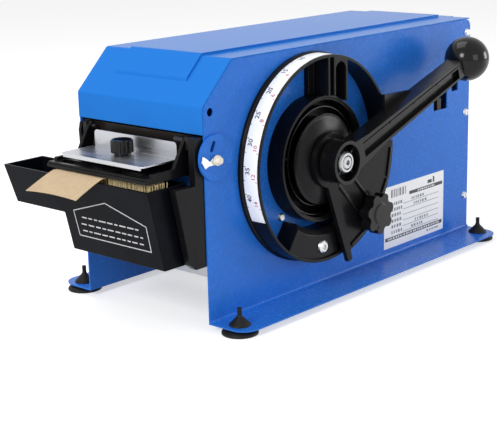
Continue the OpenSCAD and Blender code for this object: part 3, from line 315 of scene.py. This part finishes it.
def smoothBy(piece, degrees):
    pick(piece)
    bpy.ops.object.shade_smooth_by_angle(angle=math.radians(degrees))


def applyModifier(piece, kind, **settings):
    modifier = piece.modifiers.new(kind.lower(), kind)
    for key, value in settings.items():
        setattr(modifier, key, value)
    pick(piece)
    bpy.ops.object.modifier_apply(modifier=modifier.name)


def roundBends(piece, width):
    # gives the folds of a sheet a radius; a fold turns by 20 to 60 degrees and bulges outward
    mesh = piece.data
    facesAt = {}
    for face in mesh.polygons:
        for key in face.edge_keys:
            facesAt.setdefault(key, []).append(face)
    pick(piece)
    bpy.ops.object.mode_set(mode="EDIT")
    bpy.ops.mesh.select_mode(type="EDGE")
    bpy.ops.mesh.select_all(action="DESELECT")
    bpy.ops.object.mode_set(mode="OBJECT")
    folds = 0
    for edge in mesh.edges:
        sides = facesAt.get(edge.key, [])
        if len(sides) == 2:
            turn = math.degrees(sides[0].normal.angle(sides[1].normal, 0))
            bulges = (sides[1].center - sides[0].center).dot(sides[0].normal) < 0
            edge.select = 20 < turn < 60 and bulges
            folds += edge.select
    if folds:
        bpy.ops.object.mode_set(mode="EDIT")
        bpy.ops.mesh.bevel(offset=width * mm, segments=4, affect="EDGES")
        bpy.ops.object.mode_set(mode="OBJECT")


def filletBend(piece, x, z, width):
    # rounds the inner fold that runs along Y at one x and z of the housing
    line = place(x, 0, z)
    pick(piece)
    bpy.ops.object.mode_set(mode="EDIT")
    bpy.ops.mesh.select_mode(type="EDGE")
    bpy.ops.mesh.select_all(action="DESELECT")
    bpy.ops.object.mode_set(mode="OBJECT")
    points = piece.data.vertices
    for edge in piece.data.edges:
        edge.select = all(abs(points[i].co.x - line.x) < 0.0001 and abs(points[i].co.z - line.z) < 0.0001
                          for i in edge.vertices)
    bpy.ops.object.mode_set(mode="EDIT")
    bpy.ops.mesh.bevel(offset=width * mm, segments=5, affect="EDGES")
    bpy.ops.object.mode_set(mode="OBJECT")


def dress(node, width=0.5, bend=0, plainFaces=False):
    # a copy of a CAD node with its doubles merged and its sharp edges rounded by width mm
    pick(nodeOf[node])
    bpy.ops.object.duplicate()
    piece = bpy.context.object
    piece.name = node + "_finished"
    for key in list(piece.keys()):
        del piece[key]
    piece.parent = None
    bpy.ops.object.mode_set(mode="EDIT")
    bpy.ops.mesh.select_all(action="SELECT")
    bpy.ops.mesh.remove_doubles(threshold=0.000002)
    if not plainFaces:
        bpy.ops.mesh.dissolve_limited(angle_limit=math.radians(0.6))
    bpy.ops.object.mode_set(mode="OBJECT")
    if bend:
        roundBends(piece, bend)
    if node in filletAt:
        filletBend(piece, *filletAt[node])
    applyModifier(piece, "BEVEL", width=width * mm, segments=2, limit_method="ANGLE",
                  angle_limit=math.radians(28), miter_outer="MITER_ARC", use_clamp_overlap=True)
    smoothBy(piece, 32)
    applyModifier(piece, "WEIGHTED_NORMAL", keep_sharp=True)
    setFinish(piece, lookOf.get(node, slotOf[node]))
    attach(piece, bodyOf[node])
    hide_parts(node)
    return piece


lookOf = {"press_knob": "black_gloss", "star_knob": "black_soft_gloss", "lever_arm": "black_soft_gloss",
          "frame_pin": "dark_brown", "brake_tab": "dark_brown", "lid": "blue_gloss"}
edgeWidth = {  # the rounding of each part's edges, in mm
    "side_panel_right": 0.5, "side_panel_left": 0.5, "back_panel": 0.4, "base_plate": 0.4,
    "tie_bars": 0.4, "front_carrier": 0.4, "lid": 0.4, "lid_hinge": 0.3, "rubber_feet": 0.5,
    "panel_screws": 0.25, "dial_ring": 0.5, "stop_block": 0.8, "spring_housing": 0.5,
    "spring_bell": 0.6, "selector_arm": 0.6, "star_knob": 0.8, "lever_arm": 0.7, "lever_bolt": 0.3,
    "press_frame": 0.5, "press_plate": 0.4, "press_knob": 0.35, "hinge_bar": 0.5, "water_tank": 0.7,
    "tank_rail": 0.3, "right_cheek": 0.6, "left_cheek": 0.5, "latch_hook": 0.3, "latch_screw": 0.4,
    "roll_guides": 0.3, "cradle_brackets": 0.3, "brake_tab": 0.3, "press_bracket": 0.3,
    "throat_plate": 0.2, "fixed_blade": 0.2, "shear_blade": 0.15, "blade_guides": 0.4,
    "feed_roller": 0.3, "tape_roll": 0.3, "roll_core": 0.2, "cradle_roller_front": 0.3,
    "cradle_roller_rear": 0.3, "press_roller": 0.3, "rating_plate": 0.1,
}
plainNodes = ["lid_hinge_pin", "star_stud", "lever_shaft", "drive_gear", "idler_gear", "idler_shaft",
              "feed_gear", "feed_shaft", "shaft_bushes", "guide_bar", "frame_pin"]
bendWidth = {"lid": 1.6}
filletAt = {"side_panel_right": (87.0, 1.5, 2.5), "side_panel_left": (-87.0, 1.5, 2.5)}  # x, z and radius
triangleNodes = ["selector_arm"]  # their faces stay as they come, because dissolving them breaks the mesh
dressed = {node: dress(node, width, bendWidth.get(node, 0), node in triangleNodes)
           for node, width in edgeWidth.items()}
for node in plainNodes:
    setFinish(nodeOf[node], lookOf.get(node, slotOf[node]))
print("parts dressed:", len(dressed))

# ---- new pieces ----
def enterEdit(piece):
    pick(piece)
    bpy.ops.object.mode_set(mode="EDIT")


def leaveEdit():
    bpy.ops.object.mode_set(mode="OBJECT")


def settle(piece, name):
    # the piece's place, turn and scale go into its mesh
    piece.name = name
    pick(piece)
    bpy.ops.object.transform_apply(location=True, rotation=True, scale=True)
    return piece


def addBlock(name, middle, size, tilt=0.0):
    # a block with its middle and size in mm, tilted in radians about X
    pickNone()
    bpy.ops.mesh.primitive_cube_add(size=1, location=place(*middle))
    block = bpy.context.object
    block.scale = Vector(size) * mm
    block.rotation_euler = (tilt, 0, 0)
    return settle(block, name)


def recalculate(piece):
    enterEdit(piece)
    bpy.ops.mesh.select_all(action="SELECT")
    bpy.ops.mesh.remove_doubles(threshold=0.000002)
    bpy.ops.mesh.normals_make_consistent(inside=False)
    leaveEdit()


def joinAll(pieces, name):
    pickNone()
    for piece in pieces:
        piece.select_set(True)
    bpy.context.view_layer.objects.active = pieces[0]
    bpy.ops.object.join()
    joined = bpy.context.object
    joined.name = name
    return joined


def hand(piece, node, finish=None, replace=True):
    # gives a new piece its node's body and a finish, the one named or else the one its node's slot names
    setFinish(piece, finish or slotOf[node])
    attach(piece, bodyOf[node])
    if replace:
        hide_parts(node)
    return piece


def addInk(name, colour):
    material, tree, shader = startMaterial(name, colour, 0.5)
    grain = addGroup(tree, "coatGrain", Speckle=1500.0)
    addTint(tree, shader, grain.outputs["Mottle"], shade(colour, 0.8), shade(colour, 1.2, 0.01))
    return material


finishes["black_ink"] = addInk("blackInk", (0.02, 0.02, 0.025))
finishes["red_ink"] = addInk("redInk", (0.55, 0.12, 0.16))
finishes["grey_ink"] = addInk("greyInk", (0.2, 0.2, 0.22))
finishes["white_ink"] = addInk("whiteInk", (0.55, 0.55, 0.57))

shaftAxis = (151.0, 138.5)  # y and z of the axis that the dial, the selector and the lever share


def aroundShaft(reach, turn):
    # y and z at a reach in mm from the shaft's axis, turned in degrees from straight down to the rear
    angle = math.radians(turn)
    return shaftAxis[0] + reach * math.sin(angle), shaftAxis[1] - reach * math.cos(angle)


# the dial's strip: a bent band with its ticks and numbers, as thin print that stands just proud of it
dialSetup = {"radius": 105.05, "thick": 0.45, "inner": 93.5, "width": 17.0, "from": -5.0, "to": 116.0,
             "print": 0.06, "digit": 7.4, "tick": 0.7,
             "blackFrom": 10.4, "blackStep": 14.88, "blackCount": 7,
             "redFrom": 32.6, "redStep": 14.92, "redCount": 6}


def onDial(angle, across, lift):
    # angle from the top towards the front in degrees, across from the panel-side edge in mm
    return place(dialSetup["inner"] + across, *aroundShaft(dialSetup["radius"] + lift, 180 + angle))


def wrapOnDial(piece, angle, across, lift):
    # a flat shape drawn in mm: its X runs towards the top of the dial and its Y towards the panel
    for vertex in piece.data.vertices:
        x, y, z = vertex.co
        vertex.co = onDial(angle - math.degrees(x / dialSetup["radius"]), across - y, lift + z)


def addFlat(width, height, columns=1):
    # a thin rectangle in mm, cut into columns so that it can bend
    bpy.ops.mesh.primitive_grid_add(x_subdivisions=columns, y_subdivisions=1, size=1)
    flat = bpy.context.object
    for vertex in flat.data.vertices:
        vertex.co.x *= width
        vertex.co.y *= height
    return flat


def addDigits(text, size):
    pickNone()
    bpy.ops.object.text_add()
    lettering = bpy.context.object
    lettering.data.body = text
    lettering.data.size = size
    lettering.data.align_x = "CENTER"
    lettering.data.align_y = "CENTER"
    lettering.data.resolution_u = 3
    lettering.data.offset = 0.016 * size
    bpy.ops.object.convert(target="MESH")
    return bpy.context.object


def makeStrip():
    setup = dialSetup
    sweep = math.radians(setup["to"] - setup["from"]) * setup["radius"]
    strip = addFlat(sweep, setup["width"], 96)
    wrapOnDial(strip, (setup["from"] + setup["to"]) / 2, setup["width"] / 2, 0.02)
    strip = settle(strip, "scale_band")
    recalculate(strip)
    applyModifier(strip, "SOLIDIFY", thickness=setup["thick"] * mm, offset=1)
    recalculate(strip)
    applyModifier(strip, "BEVEL", width=0.1 * mm, segments=2, limit_method="ANGLE",
                  angle_limit=math.radians(60))
    smoothBy(strip, 30)
    hand(strip, "scale_strip")
    black, red = [], []
    lift = setup["thick"] + setup["print"]
    for i in range(setup["blackCount"]):
        angle = setup["blackFrom"] + i * setup["blackStep"]
        for offset, long in ((0, 2.4), (setup["blackStep"] / 2, 1.6)):
            if angle + offset < setup["to"] - 2:
                tick = addFlat(setup["tick"], long)
                wrapOnDial(tick, angle + offset, long / 2 + 0.2, lift)
                black.append(tick)
        number = addDigits(str(10 + 5 * i), setup["digit"])
        wrapOnDial(number, angle + 2.2, 5.3, lift)
        black.append(number)
    for i in range(setup["redCount"]):
        angle = setup["redFrom"] + i * setup["redStep"]
        tick = addFlat(setup["tick"], 2.2)
        wrapOnDial(tick, angle, setup["width"] - 1.3, lift)
        number = addDigits(str(4 + 2 * i), setup["digit"] * 0.9)
        wrapOnDial(number, angle - 2.4, setup["width"] - 4.6, lift)
        red += [tick, number]
    for group, colour in ((black, "black"), (red, "red")):
        name = "scale_numbers_" + colour
        numbers = settle(joinAll(group, name), name)
        hand(numbers, "scale_strip", colour + "_ink", False)


makeStrip()
print("dial scale made")

# the rating plate: its print is plain bars and rules, with no words. Sizes and places are in mm, and what
# lies on the plate is given as left, top, right and bottom, in shares of it
plateSetup = {"x": 87.46, "front": 280.0, "length": 116.5, "top": 80.0, "height": 70.5, "thick": 0.05,
              "bars": [(0.41, 0.17, 0.975, 0.225), (0.02, 0.825, 0.972, 0.882), (0.72, 0.085, 0.79, 0.14),
                       (0.81, 0.05, 0.835, 0.145)],
              "paleRows": [(0.06, 0.84, 0.93, 0.866), (0.55, 0.187, 0.86, 0.208)], "paleLift": 0.04,
              "code": (0.11, 0.06, 0.36, 0.19), "footnote": (0.71, 0.915, 0.91, 0.945),
              "rowFrom": 0.3, "rowStep": 0.092, "rows": 6, "filledRows": (0, 1, 4, 5)}
shortDash = (0.012, 0.03)  # the least and most of a dash or a gap, in shares of the plate's length
longDash = (0.015, 0.03)


def addBar(y0, z0, y1, z1, x):
    # a thin upright bar on the right side, seen from +X
    pickNone()
    bpy.ops.mesh.primitive_cube_add(size=1)
    bar = bpy.context.object
    for vertex in bar.data.vertices:
        vertex.co = place(x + plateSetup["thick"] * vertex.co.x, (y0 + y1) / 2 + (y1 - y0) * vertex.co.y,
                          (z0 + z1) / 2 + (z1 - z0) * vertex.co.z)
    return bar


def onPlate(left, top, right, bottom, lift=0.0):
    # the four bounds are shares of the plate, from its upper front corner
    setup = plateSetup
    along = [setup["front"] + share * setup["length"] for share in (left, right)]
    high = [setup["top"] - share * setup["height"] for share in (bottom, top)]
    return addBar(along[0], high[0], along[1], high[1], setup["x"] + lift)


def addDashes(bounds, sizes, gaps, dice, lift=0.0):
    # a row of short bars that stands for a line of small print
    left, top, right, bottom = bounds
    dashes = []
    at = left
    while at < right - sizes[0]:
        length = min(dice.uniform(*sizes), right - at)
        dashes.append(onPlate(at, top, at + length, bottom, lift))
        at += length + dice.uniform(*gaps)
    return dashes


def makePlatePrint():
    setup = plateSetup
    dice = random.Random(4)
    bars = [onPlate(*bounds) for bounds in setup["bars"]]
    pale, rules = [], []
    for bounds in setup["paleRows"]:
        pale += addDashes(bounds, shortDash, (0.008, 0.02), dice, setup["paleLift"])
    rules += addDashes(setup["code"], shortDash, (0.012, 0.02), dice)
    rules += addDashes(setup["footnote"], shortDash, (0.01, 0.02), dice)
    for row in range(setup["rows"]):
        middle = setup["rowFrom"] + row * setup["rowStep"]
        rules += addDashes((0.12, middle - 0.028, 0.29, middle + 0.022), longDash, (0.014, 0.02), dice)
        rules.append(onPlate(0.31, middle + 0.034, 0.91, middle + 0.042))
        if row in setup["filledRows"]:
            start = dice.uniform(0.42, 0.55)
            entry = (start, middle - 0.024, start + 0.22, middle + 0.018)
            rules += addDashes(entry, longDash, (0.014, 0.024), dice)
    for group, name, ink in ((bars, "plate_bars", "black_ink"), (rules, "plate_rules", "grey_ink"),
                             (pale, "plate_pale_print", "white_card")):
        hand(joinAll(group, name), "rating_plate", ink, False)


makePlatePrint()
print("plate print made")

# the tank's print: a plain gabled frame with three rows of short rules on the sloping front
tankSetup = {"front": -63.0, "top": 140.5, "slope": 0.23,
             "frame": [(-38.5, 79.5), (62.0, 79.5), (62.5, 105.0), (10.8, 120.6), (-39.0, 105.6)],
             "line": 1.0, "letter": 1.35, "thick": 0.08, "lift": 0.06,
             "rows": [(100.0, -28, 50), (92.6, -31, 54), (85.6, -31, 53)]}


def onTank(x, z, lift=0.0):
    front = tankSetup["front"] + (tankSetup["top"] - z) * tankSetup["slope"]
    return place(x, front - lift, z)


def addStroke(first, second, width):
    # a thin bar on the tank's front from one (x, z) to another
    (x0, z0), (x1, z1) = first, second
    length = math.hypot(x1 - x0, z1 - z0)
    tilt = math.atan2(z1 - z0, x1 - x0)
    pickNone()
    bpy.ops.mesh.primitive_cube_add(size=1)
    stroke = bpy.context.object
    for vertex in stroke.data.vertices:
        along, side = vertex.co.x * (length + width), vertex.co.y * width
        x = (x0 + x1) / 2 + along * math.cos(tilt) - side * math.sin(tilt)
        z = (z0 + z1) / 2 + along * math.sin(tilt) + side * math.cos(tilt)
        vertex.co = onTank(x, z, tankSetup["lift"] + vertex.co.z * tankSetup["thick"])
    return stroke


def makeTankPrint():
    setup = tankSetup
    corners = setup["frame"]
    following = corners[1:] + corners[:1]
    strokes = [addStroke(corner, after, setup["line"]) for corner, after in zip(corners, following)]
    dice = random.Random(9)
    for z, start, end in setup["rows"]:
        x = start
        while x < end - 2:
            length = dice.uniform(3.0, 9.0)
            strokes.append(addStroke((x, z), (min(x + length, end), z), setup["letter"]))
            x += length + dice.uniform(3.2, 4.4)
    tankPrint = joinAll(strokes, "tank_print")
    recalculate(tankPrint)
    hand(tankPrint, "water_tank", "white_ink", False)


makeTankPrint()
print("tank print made")

# the selector's cast ribs: raised bars on its web
ribSetup = {"foot": 115.4, "rise": 2.1, "wide": 3.2, "rounding": 0.7,
            "bars": [((29, 22), (80, 36)), ((29, 64), (80, 50)), ((101, 19), (101, 35)),
                     ((101, 51), (101, 69)), ((101, 70), (101, 88))]}


def makeRibs():
    # each end of a rib is its reach from the shaft's axis and its turn from straight down
    setup = ribSetup
    bars = []
    for first, second in setup["bars"]:
        start, end = Vector(aroundShaft(*first)), Vector(aroundShaft(*second))
        middle, along = (start + end) / 2, end - start
        bars.append(addBlock("rib", (setup["foot"] + setup["rise"] / 2, *middle),
                             (setup["rise"], along.length, setup["wide"]), math.atan2(along.y, along.x)))
    for bar in bars:
        applyModifier(bar, "BEVEL", width=setup["rounding"] * mm, segments=3)
    ribs = joinAll(bars, "selector_ribs")
    smoothBy(ribs, 40)
    hand(ribs, "selector_arm", "black_soft_gloss", False)


makeRibs()
print("selector ribs made")

# the wetting brush: a backing on two legs, and fine straws in rows
brushSetup = {"left": -48.0, "right": 70.0, "front": -53.0, "back": -33.0, "top": 144.1, "straw": 15.0,
              "columns": 74, "rows": 9, "radius": 0.55, "edge": 1.4, "aside": 0.3, "lean": 0.035,
              "backingMiddle": -42.4, "backingDeep": 22.8, "backingHigh": 14.2, "sunk": 0.2,
              "legInset": 14.0, "legMiddle": (-35.0, 90.05), "legSize": (12.0, 10.0, 51.0)}


def makeStraws(base):
    setup = brushSetup
    dice = random.Random(21)
    columns, rows = setup["columns"], setup["rows"]
    stepX = (setup["right"] - setup["left"] - 2 * setup["edge"]) / (columns - 1)
    stepY = (setup["back"] - setup["front"]) / (rows - 1)
    corner = place(setup["left"] + setup["edge"], setup["front"], base + setup["straw"] / 2)
    foot, tip = setup["radius"] * mm, setup["radius"] * 0.75 * mm
    pickNone()
    bpy.ops.mesh.primitive_cone_add(vertices=5, radius1=foot, radius2=tip, depth=setup["straw"] * mm,
                                    location=corner)
    hair = settle(bpy.context.object, "straws")
    strawSize = len(hair.data.vertices)
    for count, step in ((columns, (stepX * mm, 0, 0)), (rows, (0, stepY * mm, 0))):
        applyModifier(hair, "ARRAY", count=count, use_relative_offset=False, use_constant_offset=True,
                      constant_offset_displace=step)
    level = place(0, 0, base).z
    most, tilt = setup["aside"], setup["lean"]
    for i in range(columns * rows):  # each straw is set a little aside and leans a little
        aside = Vector((dice.uniform(-most, most) * stepX, dice.uniform(-most, most) * stepY, 0)) * mm
        lean = Vector((dice.uniform(-tilt, tilt), dice.uniform(-tilt, tilt), 0))
        for vertex in hair.data.vertices[i * strawSize:(i + 1) * strawSize]:
            vertex.co += aside + lean * (vertex.co.z - level)
    return hair


def makeBrush():
    setup = brushSetup
    base = setup["top"] - setup["straw"]
    left, right, high = setup["left"], setup["right"], setup["backingHigh"]
    middle = ((left + right) / 2, setup["backingMiddle"], base + setup["sunk"] - high / 2)
    parts = [addBlock("backing", middle, (right - left, setup["backingDeep"], high))]
    for x in (left + setup["legInset"], right - setup["legInset"]):
        parts.append(addBlock("leg", (x, *setup["legMiddle"]), setup["legSize"]))
    for part in parts:
        applyModifier(part, "BEVEL", width=0.8 * mm, segments=2)
    brush = joinAll([*parts, makeStraws(base)], "wetting_brush")
    smoothBy(brush, 40)
    hand(brush, "brush")


makeBrush()
print("brush made")

# the tape: a thin web from the roll to the front, with a crown across its free end
tapeSetup = {"left": -57.0, "right": 13.0, "thick": 0.35, "crown": 1.6, "z": 144.65, "columns": 16,
             "guide": (88.0, 149.2, 4.55), "roll": (335.0, 114.63, 88.55),  # y, z and radius
             "reach": 34.0, "drop": 14.0, "bend": 1.15, "still": [-62.0, -50.0, -30.0, 0.0, 40.0, 80.0],
             "freeFrom": -60.0, "freeLength": 36.0, "skew": 1.2, "endSteps": 10, "guideSteps": 3}


def tapePath():
    # (y, z) points in mm: the drooping free end, the flat stretch, round the guide bar and onto the roll
    setup = tapeSetup
    rollY, rollZ, rollRadius = setup["roll"]
    guideY, guideZ, guideRadius = setup["guide"]
    path = []
    for i in range(setup["endSteps"], 0, -1):
        share = i / setup["endSteps"]
        fall = setup["drop"] * share ** setup["bend"]
        path.append((setup["still"][0] - setup["reach"] * share, setup["z"] - fall))
    path += [(y, setup["z"]) for y in setup["still"]]
    along, rise = rollY - guideY, rollZ - guideZ
    angle = math.atan2(rise, along) + math.asin((rollRadius + guideRadius) / math.hypot(along, rise))
    for i in range(setup["guideSteps"] + 1):
        a = -math.pi / 2 + angle * i / setup["guideSteps"]
        path.append((guideY + guideRadius * math.cos(a), guideZ + guideRadius * math.sin(a)))
    for turn in range(90, 55, -5):
        a = angle + math.radians(turn)
        path.append((rollY + rollRadius * math.cos(a), rollZ + rollRadius * math.sin(a)))
    return path


def makeTape():
    setup = tapeSetup
    path = tapePath()
    pickNone()
    bpy.ops.mesh.primitive_grid_add(x_subdivisions=setup["columns"], y_subdivisions=len(path) - 1, size=2)
    web = bpy.context.object
    for vertex in web.data.vertices:
        step = (vertex.co.y + 1) / 2 * (len(path) - 1)
        y, z = path[int(round(step))]
        side = vertex.co.x
        free = min(max((setup["freeFrom"] - y) / setup["freeLength"], 0), 1)
        x = setup["left"] + (setup["right"] - setup["left"]) * (side + 1) / 2
        vertex.co = place(x, y + setup["skew"] * side * free, z + setup["crown"] * free * (1 - side * side))
    recalculate(web)
    applyModifier(web, "SOLIDIFY", thickness=setup["thick"] * mm, offset=0)
    smoothBy(web, 40)
    settle(web, "tape_strip")
    hand(web, "tape_web")


makeTape()
print("tape made")

# the ball grip: a turned ball, cut flat where it meets the lever
ballSetup = {"reach": 238.0, "tilt": 18.7, "x": 128.7, "diameter": 49.0, "flat": 2.0}


def makeBall():
    setup = ballSetup
    pickNone()
    bpy.ops.mesh.primitive_uv_sphere_add(segments=72, ring_count=40, radius=setup["diameter"] / 2 * mm)
    ball = bpy.context.object
    enterEdit(ball)
    bpy.ops.mesh.select_all(action="SELECT")
    flat = (setup["diameter"] / 2 - setup["flat"]) * mm
    bpy.ops.mesh.bisect(plane_co=(0, 0, -flat), plane_no=(0, 0, 1), clear_inner=True, use_fill=True)
    leaveEdit()
    ball.data.update()
    enterEdit(ball)
    bpy.ops.mesh.select_mode(type="FACE")
    bpy.ops.mesh.select_all(action="DESELECT")
    leaveEdit()
    for face in ball.data.polygons:
        face.select = face.normal.z < -0.999
    enterEdit(ball)
    bpy.ops.mesh.inset(thickness=0.6 * mm)
    leaveEdit()
    applyModifier(ball, "BEVEL", width=0.3 * mm, segments=2, limit_method="ANGLE",
                  angle_limit=math.radians(40))
    ball.rotation_euler = (math.radians(setup["tilt"] - 90), 0, 0)
    ball.location = place(setup["x"], *aroundShaft(setup["reach"], 90 + setup["tilt"]))
    settle(ball, "ball_grip")
    smoothBy(ball, 40)
    hand(ball, "ball_knob")


makeBall()
print("ball grip made")

# the springs: a flat coiled strip with a hooked end, and a coil of round wire
stripSetup = {"inner": 20.4, "outer": 57.2, "turns": 4, "low": 89.9, "high": 101.6, "thick": 0.9,
              "turnSteps": 72, "roundSteps": 18,  # the last steps keep the outer radius
              "hook": [(57.0, -93.5), (55.8, -96.5), (53.5, -98.8), (50.0, -100.2), (46.5, -100.8),
                       (43.0, -101.0)]}
coilSetup = {"left": 53.0, "pitch": 1.6, "turns": 6.9, "radius": 2.9, "wire": 0.55, "at": (-3.0, 178.0),
             "turnSteps": 24}


def makeReturnSpring():
    # angles run from straight down towards the rear, about the lever's shaft
    setup = stripSetup
    steps = setup["turnSteps"] * setup["turns"]
    path = []
    for i in range(steps + 1):
        share = min(i / (steps - setup["roundSteps"]), 1)
        turn = 360 * setup["turns"] * (1 - i / steps) - 90
        path.append((setup["inner"] + (setup["outer"] - setup["inner"]) * share, turn))
    path += setup["hook"]
    pickNone()
    bpy.ops.mesh.primitive_grid_add(x_subdivisions=1, y_subdivisions=len(path) - 1, size=2)
    strip = bpy.context.object
    for vertex in strip.data.vertices:
        radius, turn = path[int(round((vertex.co.y + 1) / 2 * (len(path) - 1)))]
        x = setup["low"] if vertex.co.x < 0 else setup["high"]
        vertex.co = place(x, *aroundShaft(radius, turn))
    recalculate(strip)
    applyModifier(strip, "SOLIDIFY", thickness=setup["thick"] * mm, offset=0)
    smoothBy(strip, 35)
    settle(strip, "coiled_strip")
    hand(strip, "return_spring", "spring_steel")


def makeCoil():
    setup = coilSetup
    pickNone()
    quarter = math.radians(90)
    bpy.ops.mesh.primitive_circle_add(vertices=12, radius=setup["wire"] * mm, rotation=(0, quarter, quarter))
    ring = settle(bpy.context.object, "wire_ring")
    for vertex in ring.data.vertices:  # the ring stands on the coil's radius, its face across the wire
        vertex.co.z += setup["radius"] * mm
    steps = int(setup["turnSteps"] * setup["turns"])
    applyModifier(ring, "SCREW", angle=math.radians(360 * setup["turns"]), steps=steps, render_steps=steps,
                  screw_offset=setup["pitch"] * setup["turns"] * mm, axis="X", use_merge_vertices=False)
    shift = place(setup["left"] + setup["wire"], *setup["at"])
    for vertex in ring.data.vertices:
        vertex.co += shift
    recalculate(ring)
    smoothBy(ring, 60)
    hand(ring, "hold_down_spring", "spring_steel")


makeReturnSpring()
makeCoil()
print("springs made")

# ---- floor and light ----
stageSetup = {"size": 12.0, "below": 0.0005, "colour": (0.8, 0.8, 0.8), "lift": 0.52, "room": 0.42,
              "aim": (0, 0, 0.12)}


def addSeen(tree):
    # 1 for the camera and for what mirrors and glass show, 0 for light that falls on the object
    path = tree.nodes.new("ShaderNodeLightPath")
    seen = addMath(tree, "MAXIMUM", path.outputs["Is Camera Ray"], path.outputs["Is Glossy Ray"])
    return addMath(tree, "MAXIMUM", seen, path.outputs["Is Transmission Ray"])


pickNone()
bpy.ops.mesh.primitive_plane_add(size=stageSetup["size"], location=(0, 0, -stageSetup["below"]))
floor = bpy.context.object
floor.name = "floor"
floorMaterial, floorTree, floorShader = startMaterial(
    "paleFloor", stageSetup["colour"], 0.9, Specular_IOR_Level=0.1, Emission_Color=(1, 1, 1, 1))
floorTree.links.new(addMath(floorTree, "MULTIPLY", addSeen(floorTree), stageSetup["lift"]),
                    floorShader.inputs["Emission Strength"])
floor.data.materials.append(floorMaterial)

lampSetup = {  # place, size and power of each soft lamp
    "keyLamp": {"place": (0.3, -2.0, 1.2), "size": 0.7, "power": 29},
    "topLamp": {"place": (-0.5, -0.1, 1.9), "size": 1.2, "power": 12},
    "sideLamp": {"place": (2.0, -0.2, 0.6), "size": 0.9, "power": 6},
    "rearLamp": {"place": (1.05, 1.55, 0.42), "size": 0.55, "power": 9},
}
for name, setup in lampSetup.items():
    lampData = bpy.data.lights.new(name, "AREA")
    lampData.energy = setup["power"]
    lampData.size = setup["size"]
    lamp = bpy.data.objects.new(name, lampData)
    lamp.location = setup["place"]
    lamp.rotation_euler = (Vector(stageSetup["aim"]) - lamp.location).to_track_quat("-Z", "Y").to_euler()
    bpy.context.scene.collection.objects.link(lamp)
world = bpy.data.worlds.new("paleRoom")
world.use_nodes = True
roomLight = world.node_tree.nodes["Background"]
roomLight.inputs["Color"].default_value = (1, 1, 1, 1)
world.node_tree.links.new(addRange(world.node_tree, addSeen(world.node_tree), 0, 1, stageSetup["room"], 1.0),
                          roomLight.inputs["Strength"])
bpy.context.scene.world = world
bpy.context.scene.view_settings.view_transform = "Standard"
print("stage and lamps set")
